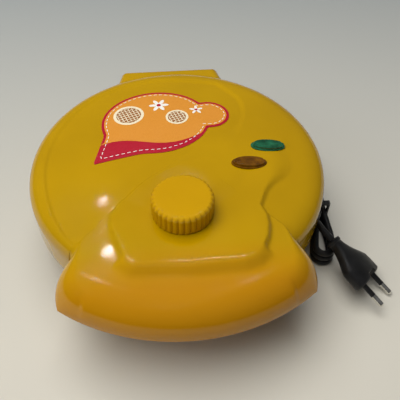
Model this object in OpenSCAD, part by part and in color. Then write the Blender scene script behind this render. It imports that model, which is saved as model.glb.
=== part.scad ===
// Electric krumkake iron: a round, hinged cooker with two engraved plates.
// Units are millimetres. Z is up, the table is at z = 0, the handle points to -Y
// and the hinge to +Y. Pieces are drawn about the centre of the baking plates.

/* [Body] */
// Diameter of the lid across its upright skirt
body_d = 211; // [204:1:220]
// Height of the parting line above the table
seam_z = 34; // [32:0.5:38]
// Open gap between lid and base along the parting line
seam_gap = 1; // [0.6:0.1:1.6]
// Height of the lid's upright skirt
skirt_h = 20; // [17:0.5:24]
// Wall thickness of the two plastic housings
wall = 2.4; // [2:0.1:3]
// Radius of the bend at the top of the skirt
rim_round = 6.5; // [5:0.5:8]
// Distance from the skirt in to the shoulder ring
ring_inset = 13; // [11:0.5:16]
// Height of the shoulder ring above the skirt
ring_rise = 11.5; // [10:0.5:14]
// Rise of the crown from the shoulder ring to the middle
crown_rise = 7; // [5:0.5:9]
// Height of the swirl that is raised above the crown
swirl_step = 1.2; // [0.8:0.1:1.8]
// Gap under the base that its feet leave
foot_gap = 6; // [4:0.5:8]

/* [Handle] */
// Reach of the front handle beyond the skirt
handle_reach = 27; // [24:1:32]
// Half of the angle that the handle spans, from the middle of the plates
handle_angle = 41.5; // [38:0.5:44]
// Radius of the handle's two outer corners, seen from above
handle_corner = 18.5; // [12:0.5:20]
// Radius of the roll along the handle's front edge
handle_roll = 20; // [18:1:22]
// Height of the handle's lower edge above the parting line
handle_edge = 12.5; // [11:0.5:14]
// Distance from the skirt in to the front of the knob's deck
deck_inset = 12.5; // [10:0.5:16]
// Half width of the knob's deck at the knob
deck_half = 46; // [42:1:48]

/* [Hinge] */
// Width of the hinge cowl
cowl_w = 84; // [80:1:90]
// Reach of the hinge cowl beyond the skirt
cowl_reach = 11; // [10:0.5:13]
// Height of the cowl's roof above the top of the skirt
cowl_rise = 4.5; // [4:0.5:6]
// Diameter of the hinge pin
pin_d = 4; // [3:0.5:5]
// Radial clearance of the hinge pin in the lid's knuckles
pin_clear = 0.05; // [0.03:0.01:0.08]
// Distance from the hinge pin in to the cowl's rear face
pin_inset = 9.5; // [9:0.5:11]
// Height of the hinge pin above the parting line
pin_rise = 7; // [6:0.5:9]
// Width of one base ear
ear_w = 8; // [6:0.5:10]
// Distance between the inner faces of the two base ears
ear_span = 52; // [46:1:58]

/* [Baking plates] */
// Distance from the lid's skirt in to the edge of the cast plates
plate_inset = 8; // [6.5:0.5:12]
// Width of the plain flange round the engraved baking field
flange_w = 21.5; // [20:0.5:30]
// Thickness of a cast plate
plate_t = 3.5; // [3:0.1:4.5]
// Gap between the two fields when the iron is shut
bake_gap = 2; // [1.5:0.1:3]
// Depth of the engraved grooves
groove_depth = 0.8; // [0.5:0.1:1.2]
// Width of the engraved lines
line_w = 1.6; // [1.2:0.1:2.2]
// Number of hearts round the field
heart_count = 8; // [6:1:10]
// Distance from the plate's edge in to its screws
screw_inset = 9.5; // [8:0.5:12]

/* [Heating] */
// Distance from the edge of the field in to the tubular heating element
element_inset = 16; // [12:1:20]
// Diameter of the heating element's tube
element_d = 6.4; // [6:0.2:8]
// Thickness of the sheet reflectors
sheet_t = 0.6; // [0.5:0.1:1]

/* [Knob and thermostat] */
// Diameter of the knob over its flutes
knob_d = 40; // [36:1:42]
// Height of the knob
knob_h = 13.6; // [12:0.2:16]
// Distance from the skirt in to the knob's axis
knob_inset = 50.5; // [48:0.5:53]
// Number of flutes round the knob
flute_count = 32; // [24:2:36]
// Diameter of the thermostat's shaft
shaft_d = 6; // [5:0.5:7]
// Gap between the knob and the deck under it
knob_gap = 0.6; // [0.4:0.1:1.2]

/* [Lamps] */
// Length of an oval lamp lens
lens_l = 25; // [22:0.5:28]
// Width of an oval lamp lens
lens_w = 11.4; // [10:0.2:13]
// Height of a lens above the lid
lens_h = 2.8; // [2:0.2:4]

/* [Cord and plug] */
// Diameter of the mains cord
cord_d = 4.8; // [4.4:0.1:5.2]
// Height of one layer of the tied hank
hank_pitch = 5.4; // [5.3:0.1:6]
// Radius of the fold at each end of the hank
hank_fold = 6; // [5.6:0.2:7]
// Half of the distance between the hank's two folds
hank_half = 34; // [30:1:38]

/* [Hidden] */

$fn = 96;
yellow = "#D9A400";
black = "#1B1B1B";
steel = "#B9BBBD";
aluminium = "#8C8F92";
nonstick = "#3A3A3C";
ceramic = "#E8E2D2";
far = 400;
sliver = 0.3;
seat_gap = 0.05;
overlap = 1;

body_r = body_d / 2;
front_y = body_r + handle_reach;
rear_y = body_r + cowl_reach;
plates_y = (front_y - rear_y) / 2;
base_top = seam_z - seam_gap / 2;
lid_bottom = seam_z + seam_gap / 2;
skirt_top = lid_bottom + skirt_h;
ring_r = body_r - ring_inset;
ring_z = skirt_top + ring_rise;
crown_z = ring_z + crown_rise;
crown_r = (ring_r * ring_r + crown_rise * crown_rise) / (2 * crown_rise);
handle_z = seam_z + handle_edge;
deck_front = body_r - deck_inset;
deck_z = crown_z - 1.2;
deck_soft = 7;
deck_drop = 5;
deck_lean = 15;

pin_r = pin_d / 2;
pin_y = rear_y - pin_inset;
pin_z = seam_z + pin_rise;
knuckle_r = pin_r + 3.5;
ear_r = pin_r + 4;
knuckle_w = 12;
hinge_side_gap = 0.5;
cowl_top = skirt_top + cowl_rise;
block_half = ear_span / 2 + ear_w + 2;
block_top = pin_z - pin_inset - 4.5;
block_y = rear_y - 6.5;

base_inset = 3;
base_r = body_r - base_inset;
base_lip = 5.5;
base_bend = 12;
base_bend_end = 42;
base_foot_r = base_r - 32.5;
base_knee_r = base_foot_r + base_bend * cos(base_bend_end);
base_knee_z = foot_gap + base_bend * (1 - sin(base_bend_end));
cone_run = base_r - 1 - base_knee_r;
cone_fall = base_top - base_lip - base_knee_z;
wall_run = wall * sqrt(cone_run * cone_run + cone_fall * cone_fall) / cone_fall;

plate_r = body_r - plate_inset;
field_r = plate_r - flange_w;
lower_face = seam_z - bake_gap / 2;
upper_face = seam_z + bake_gap / 2;
flange_sink = 0.6;
screw_ring = plate_r - screw_inset;
screw_angles = [45, 135, 225, 315];
screw_r = 1.5;
screw_head_r = 3.1;
screw_head_h = 1.8;
post_r = 4;
pilot_r = 1.6;
screw_l = 7;

element_r = element_d / 2;
element_ring = field_r - element_inset;
element_gap_angle = 40;
element_lead = 14;
lower_element_z = lower_face - plate_t - element_r - 0.1;
upper_element_z = upper_face + plate_t + element_r + 0.1;
lower_reflector_z = base_knee_z + 8;
upper_reflector_z = upper_element_z + element_r + 3;

knob_r = knob_d / 2;
knob_y = body_r - knob_inset;
knob_z = deck_z + knob_gap;
shaft_r = shaft_d / 2;
shaft_clear = 0.05;
shaft_flat = 1.2;
terminal_h = 3.9;
thermostat_z = upper_element_z + element_r + 2.2;
thermostat_h = 13;

lens_wall = 1.6;
lens_fit = 0.25;
lens_lift = 0.15;
green_at = [body_r - 41, 0.5];
amber_at = [body_r - 57, -16.5];

lamp_r = 1.8;
lamp_floor = -10.2;

label_c = [-9, 33];
label_l = 92;
label_w = 70;
label_t = 0.3;
label_gap = 0.05;

foot_r = 7;
foot_stub_r = 2.8;
foot_places = [[-46, -44], [46, -44], [-27, 97], [27, 97]];

gland_z = foot_gap + 9;
gland_l = 24;
gland_r = 5.6;
gland_tip_r = cord_d / 2 + 1.1;

plug_at = [128.4, -78.6, 11.85];
plug_turn = [0, 21.3, -50.7];
plug_roll = -22.8;
plug_l = 36;
plug_w = 34;
plug_t = 13.4;
plug_neck_r = 4.2;
plug_pin_r = 2;
plug_pin_l = 19;
plug_sleeve_l = 10;
plug_pitch = 18.6;

cord_r = cord_d / 2;
hank_at = [107.8, -16];
hank_bend = 140;
hank_waist = cord_r + 0.5;
hank_rings = 24;
hank_loops = 4;
cord_z = cord_r + 0.05;

// Places a drawing about the plates' centre in the part's own frame.
module at_plates() {
    translate([0, plates_y, 0]) children();
}

// Points of an arc about c, from angle a to angle b, in n steps.
function arc(c, r, a, b, n) =
    [for (i = [0:n]) c + r * [cos(a + (b - a) * i / n), sin(a + (b - a) * i / n)]];

function unit(v) = v / norm(v);

// Height of the crown at a distance from the middle.
function crown_at(r) = crown_z - crown_r + sqrt(crown_r * crown_r - r * r);

// Profile of the lid's outside, shrunk by t. The crown is part of a sphere.
module lid_profile(t) {
    round_c = [body_r - rim_round, skirt_top];
    intersection() {
        polygon(concat(
            [[0, lid_bottom - overlap], [body_r - t, lid_bottom - overlap]],
            arc(round_c, rim_round - t, 0, 60, 6),
            [[ring_r - t / 4, ring_z - t], [ring_r - 2 * t, crown_z + overlap], [0, crown_z + overlap]]));
        translate([0, crown_z - crown_r]) circle(r = crown_r - t, $fn = 360);
    }
}

// Outline of the handle from above, drawn in by t.
module handle_plan(t) {
    r = front_y - t;
    c = handle_corner - t;
    shift = t / sin(handle_angle);
    inner = asin(handle_corner / (front_y - handle_corner));
    tip = handle_angle - inner;
    wedge(r - c, handle_angle, shift);
    wedge(r, tip, 0);
    for (s = [-1, 1])
        rotate(s * tip) translate([0, -(front_y - handle_corner)]) circle(r = c);
}

// A sector about -Y with radius r and half angle a, its apex moved forward by shift.
module wedge(r, a, shift) {
    intersection() {
        circle(r = r, $fn = 180);
        translate([0, -shift])
            polygon([[0, 0], [-far * sin(a), -far * cos(a)], [far * sin(a), -far * cos(a)]]);
    }
}

// Profile of the handle and its roll, shrunk by t, from the inner radius r0 out.
module handle_profile(t, r0) {
    roll_r = front_y - handle_roll;
    top = handle_z + handle_roll;
    slope = 0.075;
    polygon([[r0, handle_z], [r0, top + slope * (roll_r - r0) - t], [roll_r, top - t], [roll_r, handle_z]]);
    intersection() {
        translate([roll_r, handle_z]) circle(r = handle_roll - t, $fn = 180);
        translate([roll_r - overlap, handle_z]) square(handle_roll + overlap);
    }
}

// The handle's outer form over its plan.
module handle_form() {
    intersection() {
        rotate_extrude($fn = 180) handle_profile(0, 40);
        translate([0, 0, handle_z]) linear_extrude(far / 4) handle_plan(0);
    }
}

// The hollow of the handle, outside the lid's skirt.
module handle_hollow() {
    intersection() {
        rotate_extrude($fn = 180) handle_profile(wall, body_r);
        translate([0, 0, handle_z - overlap]) linear_extrude(far / 4) handle_plan(wall);
    }
}

// A slab that ends at -Y with a soft edge; its top is at z = 0.
module soft_edge_slab(reach) {
    rotate([90, 0, 90]) translate([0, 0, -far / 2]) linear_extrude(far)
        polygon(concat(
            [[far / 4, 0], [far / 4, -deck_drop], [-reach - 0.5, -deck_drop]],
            arc([-reach + deck_soft, -deck_soft * 1.4], deck_soft * 1.4, 135, 90, 6)));
}

// The flat deck that carries the knob.
module deck_form() {
    translate([0, 0, deck_z]) intersection() {
        soft_edge_slab(deck_front);
        for_side(1);
        for_side(-1);
        translate([0, -deck_front, -deck_drop])
            cylinder(r = deck_front - 10, h = deck_drop + overlap);
    }
}

// One leaning side of the deck, at x = s times its half width beside the knob.
module for_side(s) {
    translate([0, -knob_y, 0]) rotate(s * (90 - deck_lean))
        soft_edge_slab(deck_half * cos(deck_lean));
}

// Area of the lid that the swirl raises, from above.
module swirl_plan() {
    label_r = 41;
    label_at = [12, 38];
    sweep_r = 130;
    sweep_at = [55, -131];
    difference() {
        intersection() {
            circle(r = ring_r - 1.5, $fn = 180);
            union() {
                translate(sweep_at) circle(r = sweep_r, $fn = 180);
                polygon([[20, -20], [far, -20], [far, far], [30, far], [30, 88], [37, 80], [46, 67],
                    [52, 50], label_at]);
            }
        }
        translate(label_at) circle(r = label_r);
        translate([0, -knob_y]) circle(r = knob_r + 1.5);
    }
}

// The swirl follows the crown, one step above it.
module swirl_form() {
    intersection() {
        translate([0, 0, crown_z - crown_r + swirl_step]) sphere(r = crown_r, $fn = 360);
        translate([0, 0, ring_z - 2]) linear_extrude(crown_rise + 6) swirl_plan();
    }
}

// Outline of the hinge cowl from above, drawn in by t.
module cowl_plan(t) {
    half = cowl_w / 2 - t;
    root = half + 5;
    corner = 4;
    y1 = rear_y - t;
    hull_x = half - corner;
    polygon([[-root, body_r - 24], [root, body_r - 24], [root, body_r - 14], [half, y1 - corner],
        [hull_x, y1 - corner], [hull_x, y1], [-hull_x, y1], [-hull_x, y1 - corner],
        [-half, y1 - corner], [-root, body_r - 14]]);
    for (s = [-1, 1])
        translate([s * hull_x, y1 - corner]) circle(r = corner, $fn = 48);
}

// Side view of the cowl's top, drawn in by t: it slopes back and rolls over.
module cowl_side(t) {
    bend = 6;
    top = cowl_top - t;
    back = rear_y - t;
    polygon(concat(
        [[body_r - 30, lid_bottom - overlap], [body_r - 30, top + 1.5], [body_r - 12, top]],
        arc([back - bend + t, top - bend - 1 + t], bend - t, 80, 0, 6),
        [[back, lid_bottom - overlap]]));
}

module cowl_form(t) {
    intersection() {
        translate([0, 0, lid_bottom - overlap]) linear_extrude(far / 8) cowl_plan(t);
        rotate([90, 0, 90]) translate([0, 0, -cowl_w]) linear_extrude(2 * cowl_w) cowl_side(t);
    }
}

// One lid knuckle, from x = 0 to its width, round the hinge pin.
module knuckle() {
    web = 3.4;
    rise = cowl_top - wall / 2 - pin_z;
    rotate([90, 0, 90]) linear_extrude(knuckle_w) {
        translate([pin_y, pin_z]) circle(r = knuckle_r);
        translate([pin_y - web, pin_z]) square([2 * web, rise]);
    }
}

// The four posts that the plate screws go into, from z0 up by h.
module posts(z0, h) {
    for (a = screw_angles)
        rotate(a) translate([screw_ring, 0, z0]) cylinder(r = post_r, h = h, $fn = 48);
}

module pilots(z0, h) {
    for (a = screw_angles)
        rotate(a) translate([screw_ring, 0, z0]) cylinder(r = pilot_r, h = h, $fn = 32);
}

// Oval used for the lamp lenses.
module oval(l, w) {
    polygon([for (i = [0:47]) [l / 2 * cos(i * 7.5), w / 2 * sin(i * 7.5)]]);
}

module upper_housing() {
    post_bottom = upper_face + plate_t;
    color(yellow) at_plates() difference() {
        union() {
            difference() {
                union() {
                    intersection() {
                        rotate_extrude($fn = 180) lid_profile(0);
                        translate([0, 0, lid_bottom]) cylinder(r = far, h = far);
                    }
                    cowl_form(0);
                    handle_form();
                    deck_form();
                    swirl_form();
                }
                rotate_extrude($fn = 180) lid_profile(wall);
                cowl_form(wall);
                handle_hollow();
            }
            intersection() {
                posts(post_bottom, far / 4);
                rotate_extrude($fn = 180) lid_profile(wall / 2);
            }
            handle_posts();
            for (s = [-1, 1])
                translate([s * (ear_span / 2 - hinge_side_gap - knuckle_w / 2) - knuckle_w / 2, 0, 0])
                    knuckle();
        }
        pilots(post_bottom - overlap, screw_l + 2);
        handle_pilots();
        translate([0, -knob_y, 0]) cylinder(r = shaft_r + 0.6, h = far, $fn = 48);
        for (p = [green_at, amber_at])
            at_lens(p) translate([0, 0, -12])
                linear_extrude(24) oval(lens_l - 2 * lens_wall, lens_w - 2 * lens_wall);
        hinge_notch();
        translate([-ear_span / 2, pin_y, pin_z]) rotate([0, 90, 0])
            cylinder(r = pin_r + pin_clear, h = ear_span, $fn = 48);
    }
}

// Cuts the cowl's lower edges, so that it clears the base as the lid opens.
module hinge_notch() {
    translate([-far / 2, pin_y + knuckle_r + 0.6, 0]) cube([far, 40, pin_z + 0.5]);
    translate([-far / 2, body_r - 24, 0]) cube([far, 80, lid_bottom]);
}

handle_screw_r = body_r + 12.7;
handle_screw_turn = 24;
handle_screw_at = [for (s = [-1, 1])
    handle_screw_r * [s * sin(handle_screw_turn), -cos(handle_screw_turn)]];

module handle_posts() {
    for (p = handle_screw_at)
        translate([p[0], p[1], handle_z + wall])
            cylinder(r = 3.6, h = handle_roll - wall - 2.2, $fn = 48);
}

module handle_pilots() {
    for (p = handle_screw_at)
        translate([p[0], p[1], handle_z]) cylinder(r = pilot_r, h = screw_l + wall, $fn = 32);
}

// Closes the handle from below, between the lid's skirt and the roll.
module handle_cover() {
    fit = 0.3;
    color(yellow) at_plates() difference() {
        translate([0, 0, handle_z]) linear_extrude(wall) difference() {
            handle_plan(wall + fit);
            circle(r = body_r + fit, $fn = 180);
        }
        for (p = handle_screw_at)
            translate([p[0], p[1], handle_z - overlap]) {
                cylinder(r = screw_r + 0.2, h = far, $fn = 32);
                cylinder(r = screw_head_r + 0.3, h = overlap + screw_head_h - 0.4, $fn = 32);
            }
    }
}

// A pan head screw that points up from z = 0; its head lies under z = head height.
module screw(l) {
    difference() {
        cylinder(r = screw_head_r, h = screw_head_h, $fn = 32);
        translate([0, 0, -overlap]) {
            translate([-screw_head_r + 1, -0.4, 0]) cube([2 * screw_head_r - 2, 0.8, overlap + 0.7]);
            translate([-0.4, -screw_head_r + 1, 0]) cube([0.8, 2 * screw_head_r - 2, overlap + 0.7]);
        }
    }
    translate([0, 0, screw_head_h - 0.1]) cylinder(r = screw_r - 0.05, h = l, $fn = 32);
}

module handle_screws() {
    color(steel) at_plates()
        for (p = handle_screw_at)
            translate([p[0], p[1], handle_z - 0.4]) screw(screw_l);
}

// Heart of the krumkake pattern: size s, its point at the origin, opening towards +Y.
module heart(s) {
    lobe = s * 0.3;
    cx = s * 0.27;
    cy = s * 0.68;
    for (k = [-1, 1])
        translate([k * cx, cy]) circle(r = lobe, $fn = 48);
    polygon([[0, 0], [cx + lobe * 0.72, cy - lobe * 0.68], [0, cy + lobe * 0.4],
        [-cx - lobe * 0.72, cy - lobe * 0.68]]);
}

// The engraved lines: rings, a rosette, hearts and a beaded border.
module krumkake_pattern() {
    step = 360 / heart_count;
    for (r = [field_r - 3, field_r - 14, field_r * 0.30])
        difference() {
            circle(r = r, $fn = 180);
            circle(r = r - line_w, $fn = 180);
        }
    for (i = [0:heart_count - 1]) {
        rotate(i * step) translate([0, field_r * 0.34]) heart_line(field_r * 0.42);
        rotate((i + 0.5) * step) translate([-line_w / 2, field_r * 0.34]) square([line_w, field_r * 0.36]);
        rotate(i * step) petal(field_r * 0.25);
    }
    beads = heart_count * 5;
    for (i = [0:beads - 1])
        rotate(i * 360 / beads) translate([0, field_r - 8.5 - line_w / 4]) circle(r = line_w * 1.1, $fn = 24);
}

module heart_line(s) {
    difference() {
        heart(s);
        translate([0, 2.4 * line_w]) heart(s - 4 * line_w);
    }
}

// A leaf between two arcs, from the centre out to length l.
module petal(l) {
    w = l * 0.32;
    r = (l * l / 4 + w * w / 4) / w;
    intersection() {
        translate([r - w / 2, l / 2 + 2]) circle(r = r, $fn = 96);
        translate([w / 2 - r, l / 2 + 2]) circle(r = r, $fn = 96);
    }
}

// A cast plate lying with its field up at z = 0: field, gutter, flange and rim lip.
module plate_body() {
    gutter = 3;
    difference() {
        rotate_extrude($fn = 180) polygon([
            [0, -plate_t], [element_ring - 9, -plate_t], [element_ring - 9, -plate_t - 2],
            [element_ring - 6, -plate_t - 2], [element_ring - 6, -plate_t],
            [element_ring + 6, -plate_t], [element_ring + 6, -plate_t - 2],
            [element_ring + 9, -plate_t - 2], [element_ring + 9, -plate_t],
            [plate_r - 1, -plate_t], [plate_r, -plate_t + 1], [plate_r, -0.4], [plate_r - 0.4, 0],
            [plate_r - 2.5, 0], [plate_r - 3.1, -flange_sink],
            [field_r + gutter + 1, -flange_sink], [field_r + gutter, -1.8], [field_r + 1, -1.8],
            [field_r, 0], [0, 0]]);
        for (a = screw_angles)
            rotate(a) translate([screw_ring, 0, -plate_t - overlap]) {
                cylinder(r = screw_r + 0.2, h = far / 4, $fn = 32);
                translate([0, 0, overlap + plate_t - flange_sink - screw_head_h - seat_gap])
                    cylinder(r = screw_head_r + 0.3, h = far / 4, $fn = 32);
            }
        translate([0, 0, -groove_depth]) linear_extrude(groove_depth + overlap) krumkake_pattern();
    }
}

module lower_baking_plate() {
    color(nonstick) at_plates() translate([0, 0, lower_face]) plate_body();
}

module upper_baking_plate() {
    color(nonstick) at_plates() translate([0, 0, upper_face]) rotate([0, 180, 0]) plate_body();
}

module lower_plate_screws() {
    color(steel) at_plates()
        for (a = screw_angles)
            rotate(a) translate([screw_ring, 0, lower_face - flange_sink]) rotate([180, 0, 0])
                screw(screw_l - 1.5);
}

module upper_plate_screws() {
    color(steel) at_plates()
        for (a = screw_angles)
            rotate(a) translate([screw_ring, 0, upper_face + flange_sink]) screw(screw_l - 1.5);
}

// A tubular element: an open ring with two straight cold ends that point in.
module element(z) {
    at_plates() translate([0, 0, z]) {
        rotate(90 + element_gap_angle / 2)
            rotate_extrude(angle = 360 - element_gap_angle, $fn = 180)
                translate([element_ring, 0]) circle(r = element_r, $fn = 48);
        for (s = [-1, 1])
            rotate(90 + s * element_gap_angle / 2) translate([element_ring, 0, 0])
                rotate([-s * 90, 0, 0]) cold_end();
    }
}

// The cold end: a short sleeve and the terminal rod.
module cold_end() {
    translate([0, 0, -element_lead * 0.55]) cylinder(r = element_r - 0.2, h = element_lead * 0.55, $fn = 48);
    translate([0, 0, -element_lead]) cylinder(r = 1.2, h = element_lead + 2, $fn = 32);
}

module lower_element() {
    color(steel) element(lower_element_z);
}

module upper_element() {
    color(steel) element(upper_element_z);
}

// Inner radius of the base cone at height z.
function base_inner(z) = base_knee_r + (z - base_knee_z) * cone_run / cone_fall - wall_run;

// Sheet reflector: a shallow dish, cleared for the posts and the knob's shaft.
module lower_reflector() {
    z = lower_reflector_z;
    edge = base_inner(z) - sliver;
    color(aluminium) at_plates() difference() {
        translate([0, 0, z]) rotate_extrude($fn = 180) polygon([
            [0, -2], [edge - 10, -2], [edge - 4, 0], [edge, 0], [edge, sheet_t], [edge - 4.2, sheet_t],
            [edge - 10.2, sheet_t - 2], [0, sheet_t - 2]]);
        translate([0, 0, z - 10]) linear_extrude(20)
            for (a = screw_angles)
                rotate(a) translate([screw_ring, 0]) circle(r = post_r + 0.6, $fn = 48);
        translate([-30, element_ring - 3, z - 10]) cube([60, 12, 20]);
    }
}

module upper_reflector() {
    z = upper_reflector_z;
    edge = field_r + 4;
    foot = upper_face + plate_t + 0.2 - z;
    color(aluminium) at_plates() difference() {
        translate([0, 0, z]) rotate_extrude($fn = 180) polygon([
            [0, 0], [edge - 4, 0], [edge, foot], [edge + 5, foot], [edge + 5, foot + sheet_t],
            [edge + sheet_t, foot + sheet_t], [edge - 3.6, sheet_t], [0, sheet_t]]);
        translate([0, 0, z - 10]) linear_extrude(20)
            for (a = screw_angles)
                rotate(a) translate([screw_ring, 0]) circle(r = post_r + 0.6, $fn = 48);
        translate([-15, -knob_y - 19, z - 15]) cube([30, 38, 30]);
        translate([-26, element_ring - 8, z - 15]) cube([52, 16, 15 + overlap]);
    }
}

// Profile of the base's outside, shrunk by t.
module base_profile(t) {
    run = t * wall_run / wall;
    top = t > 0 ? base_top + overlap : base_top;
    polygon(concat(
        [[0, foot_gap + t]],
        arc([base_foot_r, foot_gap + base_bend], base_bend - t, -90, -base_bend_end, 4),
        [[base_r - 1 - run, base_top - base_lip], [base_r - t, base_top - base_lip + 0.8],
            [base_r - t, top], [0, top]]));
}

// The block at the back that carries the ears, the rear feet and the cord.
module rear_block(t) {
    corner = 6;
    half = block_half - t;
    translate([0, 0, foot_gap + t]) linear_extrude(block_top - foot_gap - 2 * t) {
        translate([-half, 50]) square([2 * half, block_y - corner - 50]);
        translate([corner - block_half, 50]) square([2 * (block_half - corner), block_y - t - 50]);
        for (s = [-1, 1])
            translate([s * (block_half - corner), block_y - corner]) circle(r = corner - t, $fn = 48);
    }
}

// One base ear, from x = 0 to its width.
module ear() {
    neck = 4.1;
    rotate([90, 0, 90]) linear_extrude(ear_w) translate([pin_y, pin_z]) {
        circle(r = ear_r);
        polygon([[0, 0], [-ear_r, 0], [-10.5, -7.5], [-10.5, block_top - pin_z - 2],
            [-neck, block_top - pin_z - 2], [-2.6, -ear_r + 0.6]]);
    }
}

module lower_housing() {
    post_top = lower_face - plate_t;
    color(yellow) at_plates() difference() {
        union() {
            difference() {
                union() {
                    rotate_extrude($fn = 180) base_profile(0);
                    rear_block(0);
                }
                rotate_extrude($fn = 180) base_profile(wall);
                rear_block(wall);
                translate([0, 0, foot_gap - overlap]) linear_extrude(wall + 2 * overlap) vents();
            }
            intersection() {
                posts(foot_gap + wall, post_top - foot_gap - wall);
                rotate_extrude($fn = 180) base_profile(wall / 2);
            }
            for (s = [-1, 1])
                translate([s * (ear_span / 2 + ear_w / 2) - ear_w / 2, 0, 0]) ear();
            for (p = foot_places)
                translate([p[0], p[1], foot_gap + wall / 2]) cylinder(r = foot_stub_r + 2, h = 5, $fn = 48);
        }
        pilots(post_top - screw_l, screw_l + overlap);
        translate([-far / 2, pin_y, pin_z]) rotate([0, 90, 0])
            cylinder(r = pin_r + 0.01, h = far, $fn = 48);
        for (p = foot_places)
            translate([p[0], p[1], foot_gap - overlap])
                cylinder(r = foot_stub_r + seat_gap, h = overlap + 6, $fn = 48);
        translate([0, block_y + overlap, gland_z]) rotate([90, 0, 0])
            cylinder(r = gland_r - 1.2 + 0.05, h = wall + 2 * overlap, $fn = 48);
    }
}

// Two rings of cooling slots in the floor of the base.
module vents() {
    for (ring = [[28, 8, 22], [42, 12, 18]])
        for (i = [0:ring[1] - 1])
            rotate((i + 0.5) * 360 / ring[1]) slot(ring[0], ring[2], 3);
}

// A curved slot at radius r that spans the angle a.
module slot(r, a, w) {
    difference() {
        wedge(r + w / 2, a / 2, 0);
        circle(r = r - w / 2);
    }
}

module rubber_feet() {
    color(black) at_plates()
        for (p = foot_places)
            translate([p[0], p[1], 0]) {
                rotate_extrude($fn = 64) polygon([[0, 0], [foot_r - 1.2, 0], [foot_r - 0.4, 0.5],
                    [foot_r, 1.6], [foot_r - 0.8, foot_gap], [0, foot_gap]]);
                cylinder(r = foot_stub_r, h = foot_gap + 4.5, $fn = 48);
            }
}

module hinge_pin() {
    reach = block_half - 1;
    color(steel) at_plates() translate([-reach, pin_y, pin_z]) rotate([0, 90, 0]) {
        translate([0, 0, 0.8]) cylinder(r = pin_r, h = 2 * reach - 1.6, $fn = 48);
        cylinder(r1 = pin_r - 0.8, r2 = pin_r, h = 0.8, $fn = 48);
        translate([0, 0, 2 * reach - 0.8]) cylinder(r1 = pin_r, r2 = pin_r - 0.8, h = 0.8, $fn = 48);
    }
}

// Push nuts that keep the pin in the base ears.
module pin_nuts() {
    face = ear_span / 2 + ear_w;
    color(steel) at_plates()
        for (s = [-1, 1])
            translate([s * (face + 0.5) - 0.4, pin_y, pin_z]) rotate([0, 90, 0]) difference() {
                cylinder(r = pin_r + 2.2, h = 0.8, $fn = 48);
                translate([0, 0, -overlap]) cylinder(r = pin_r + 0.02, h = 3, $fn = 48);
            }
}

module terminal_block() {
    w = 30;
    depth = 14;
    pitch = w / 3;
    color(ceramic) at_plates() translate([-w / 2, 72, foot_gap + wall]) difference() {
        cube([w, depth, 2 * terminal_h - 0.6]);
        for (i = [0:2])
            translate([pitch * (i + 0.5), 0, terminal_h]) {
                translate([0, -overlap, 0]) rotate([-90, 0, 0])
                    cylinder(r = 1.8, h = depth + 2 * overlap, $fn = 32);
                translate([0, depth / 2, 0]) cylinder(r = 1.6, h = far, $fn = 32);
            }
    }
}

// Thermal fuse in a sleeve, strapped to the back of the lower plate.
module thermal_fuse() {
    fuse_r = 2.2;
    fuse_l = 18;
    lead_r = 0.6;
    lead_l = 10;
    z = lower_face - plate_t - fuse_r - seat_gap;
    color("#D8D2C4") at_plates() translate([0, element_ring / 2, z]) rotate([0, 90, 0]) {
        translate([0, 0, -fuse_l / 2]) cylinder(r = fuse_r, h = fuse_l, $fn = 48);
        for (from = [fuse_l / 2, -fuse_l / 2 - lead_l])
            translate([0, 0, from]) cylinder(r = lead_r, h = lead_l, $fn = 24);
    }
}

module lower_leads() {
    z = lower_element_z - 2.3;
    hole_z = foot_gap + wall + terminal_h;
    color("#B33A2B") at_plates()
        for (s = [-1, 1])
            tube([[s * 8.5, 60.8, z], [s * 8.6, 60.9, z - 2], [s * 9, 61.5, z - 5], [s * 9.5, 64, hole_z + 2],
                [s * 10, 68, hole_z + 0.3], [s * 10, 71, hole_z], [s * 10, 76, hole_z]], 1, 8, [1, 0, 0]);
}

// The tapered strain relief: a neck in the housing wall, then a ribbed cone.
module cord_gland() {
    rib_count = 5;
    color(black) at_plates() translate([0, block_y, gland_z]) rotate([-90, 0, 0]) difference() {
        union() {
            translate([0, 0, -wall - 2]) cylinder(r = gland_r, h = 1.9, $fn = 48);
            translate([0, 0, -wall - 0.2]) cylinder(r = gland_r - 1.2, h = wall + 0.3, $fn = 48);
            translate([0, 0, 0.1]) cylinder(r = gland_r, h = 3, $fn = 48);
            translate([0, 0, 3]) cylinder(r1 = gland_r - 0.9, r2 = gland_tip_r, h = gland_l - 3, $fn = 48);
            for (i = [0:rib_count - 1])
                translate([0, 0, 5 + 3.6 * i]) cylinder(r = gland_r - 0.3 - 0.3 * i, h = 1.8, $fn = 48);
        }
        translate([0, 0, gland_l - 0.1]) cylinder(r = far, h = far);
    }
}

// Tube of n sides and radius r swept along points p; ends are closed. No stretch may
// run along ref, which sets how the rings are turned.
module tube(p, r, n, ref = [0, 0, 1]) {
    last = len(p) - 1;
    d = [for (i = [0:last]) unit(p[min(i + 1, last)] - p[max(i - 1, 0)])];
    rings = [for (i = [0:last]) let(
            side = unit(cross(d[i], ref)),
            up = cross(side, d[i]))
        for (k = [0:n - 1]) p[i] + r * (cos(k * 360 / n) * side + sin(k * 360 / n) * up)];
    sides = [for (i = [0:last - 1]) for (k = [0:n - 1]) let(
            a = i * n + k,
            b = i * n + (k + 1) % n)
        each [[a, b, b + n], [a, b + n, a + n]]];
    caps = [for (k = [1:n - 2]) each [[0, k + 1, k], [last * n, last * n + k, last * n + k + 1]]];
    polyhedron(points = rings, faces = concat(sides, caps));
}

function smooth(t) = t * t * (3 - 2 * t);

// Half width of the hank at the distance s from its tie.
function hank_width(s) =
    hank_waist + (hank_fold - hank_waist) * smooth(min(1, abs(s) / (hank_half - 4)));

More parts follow.
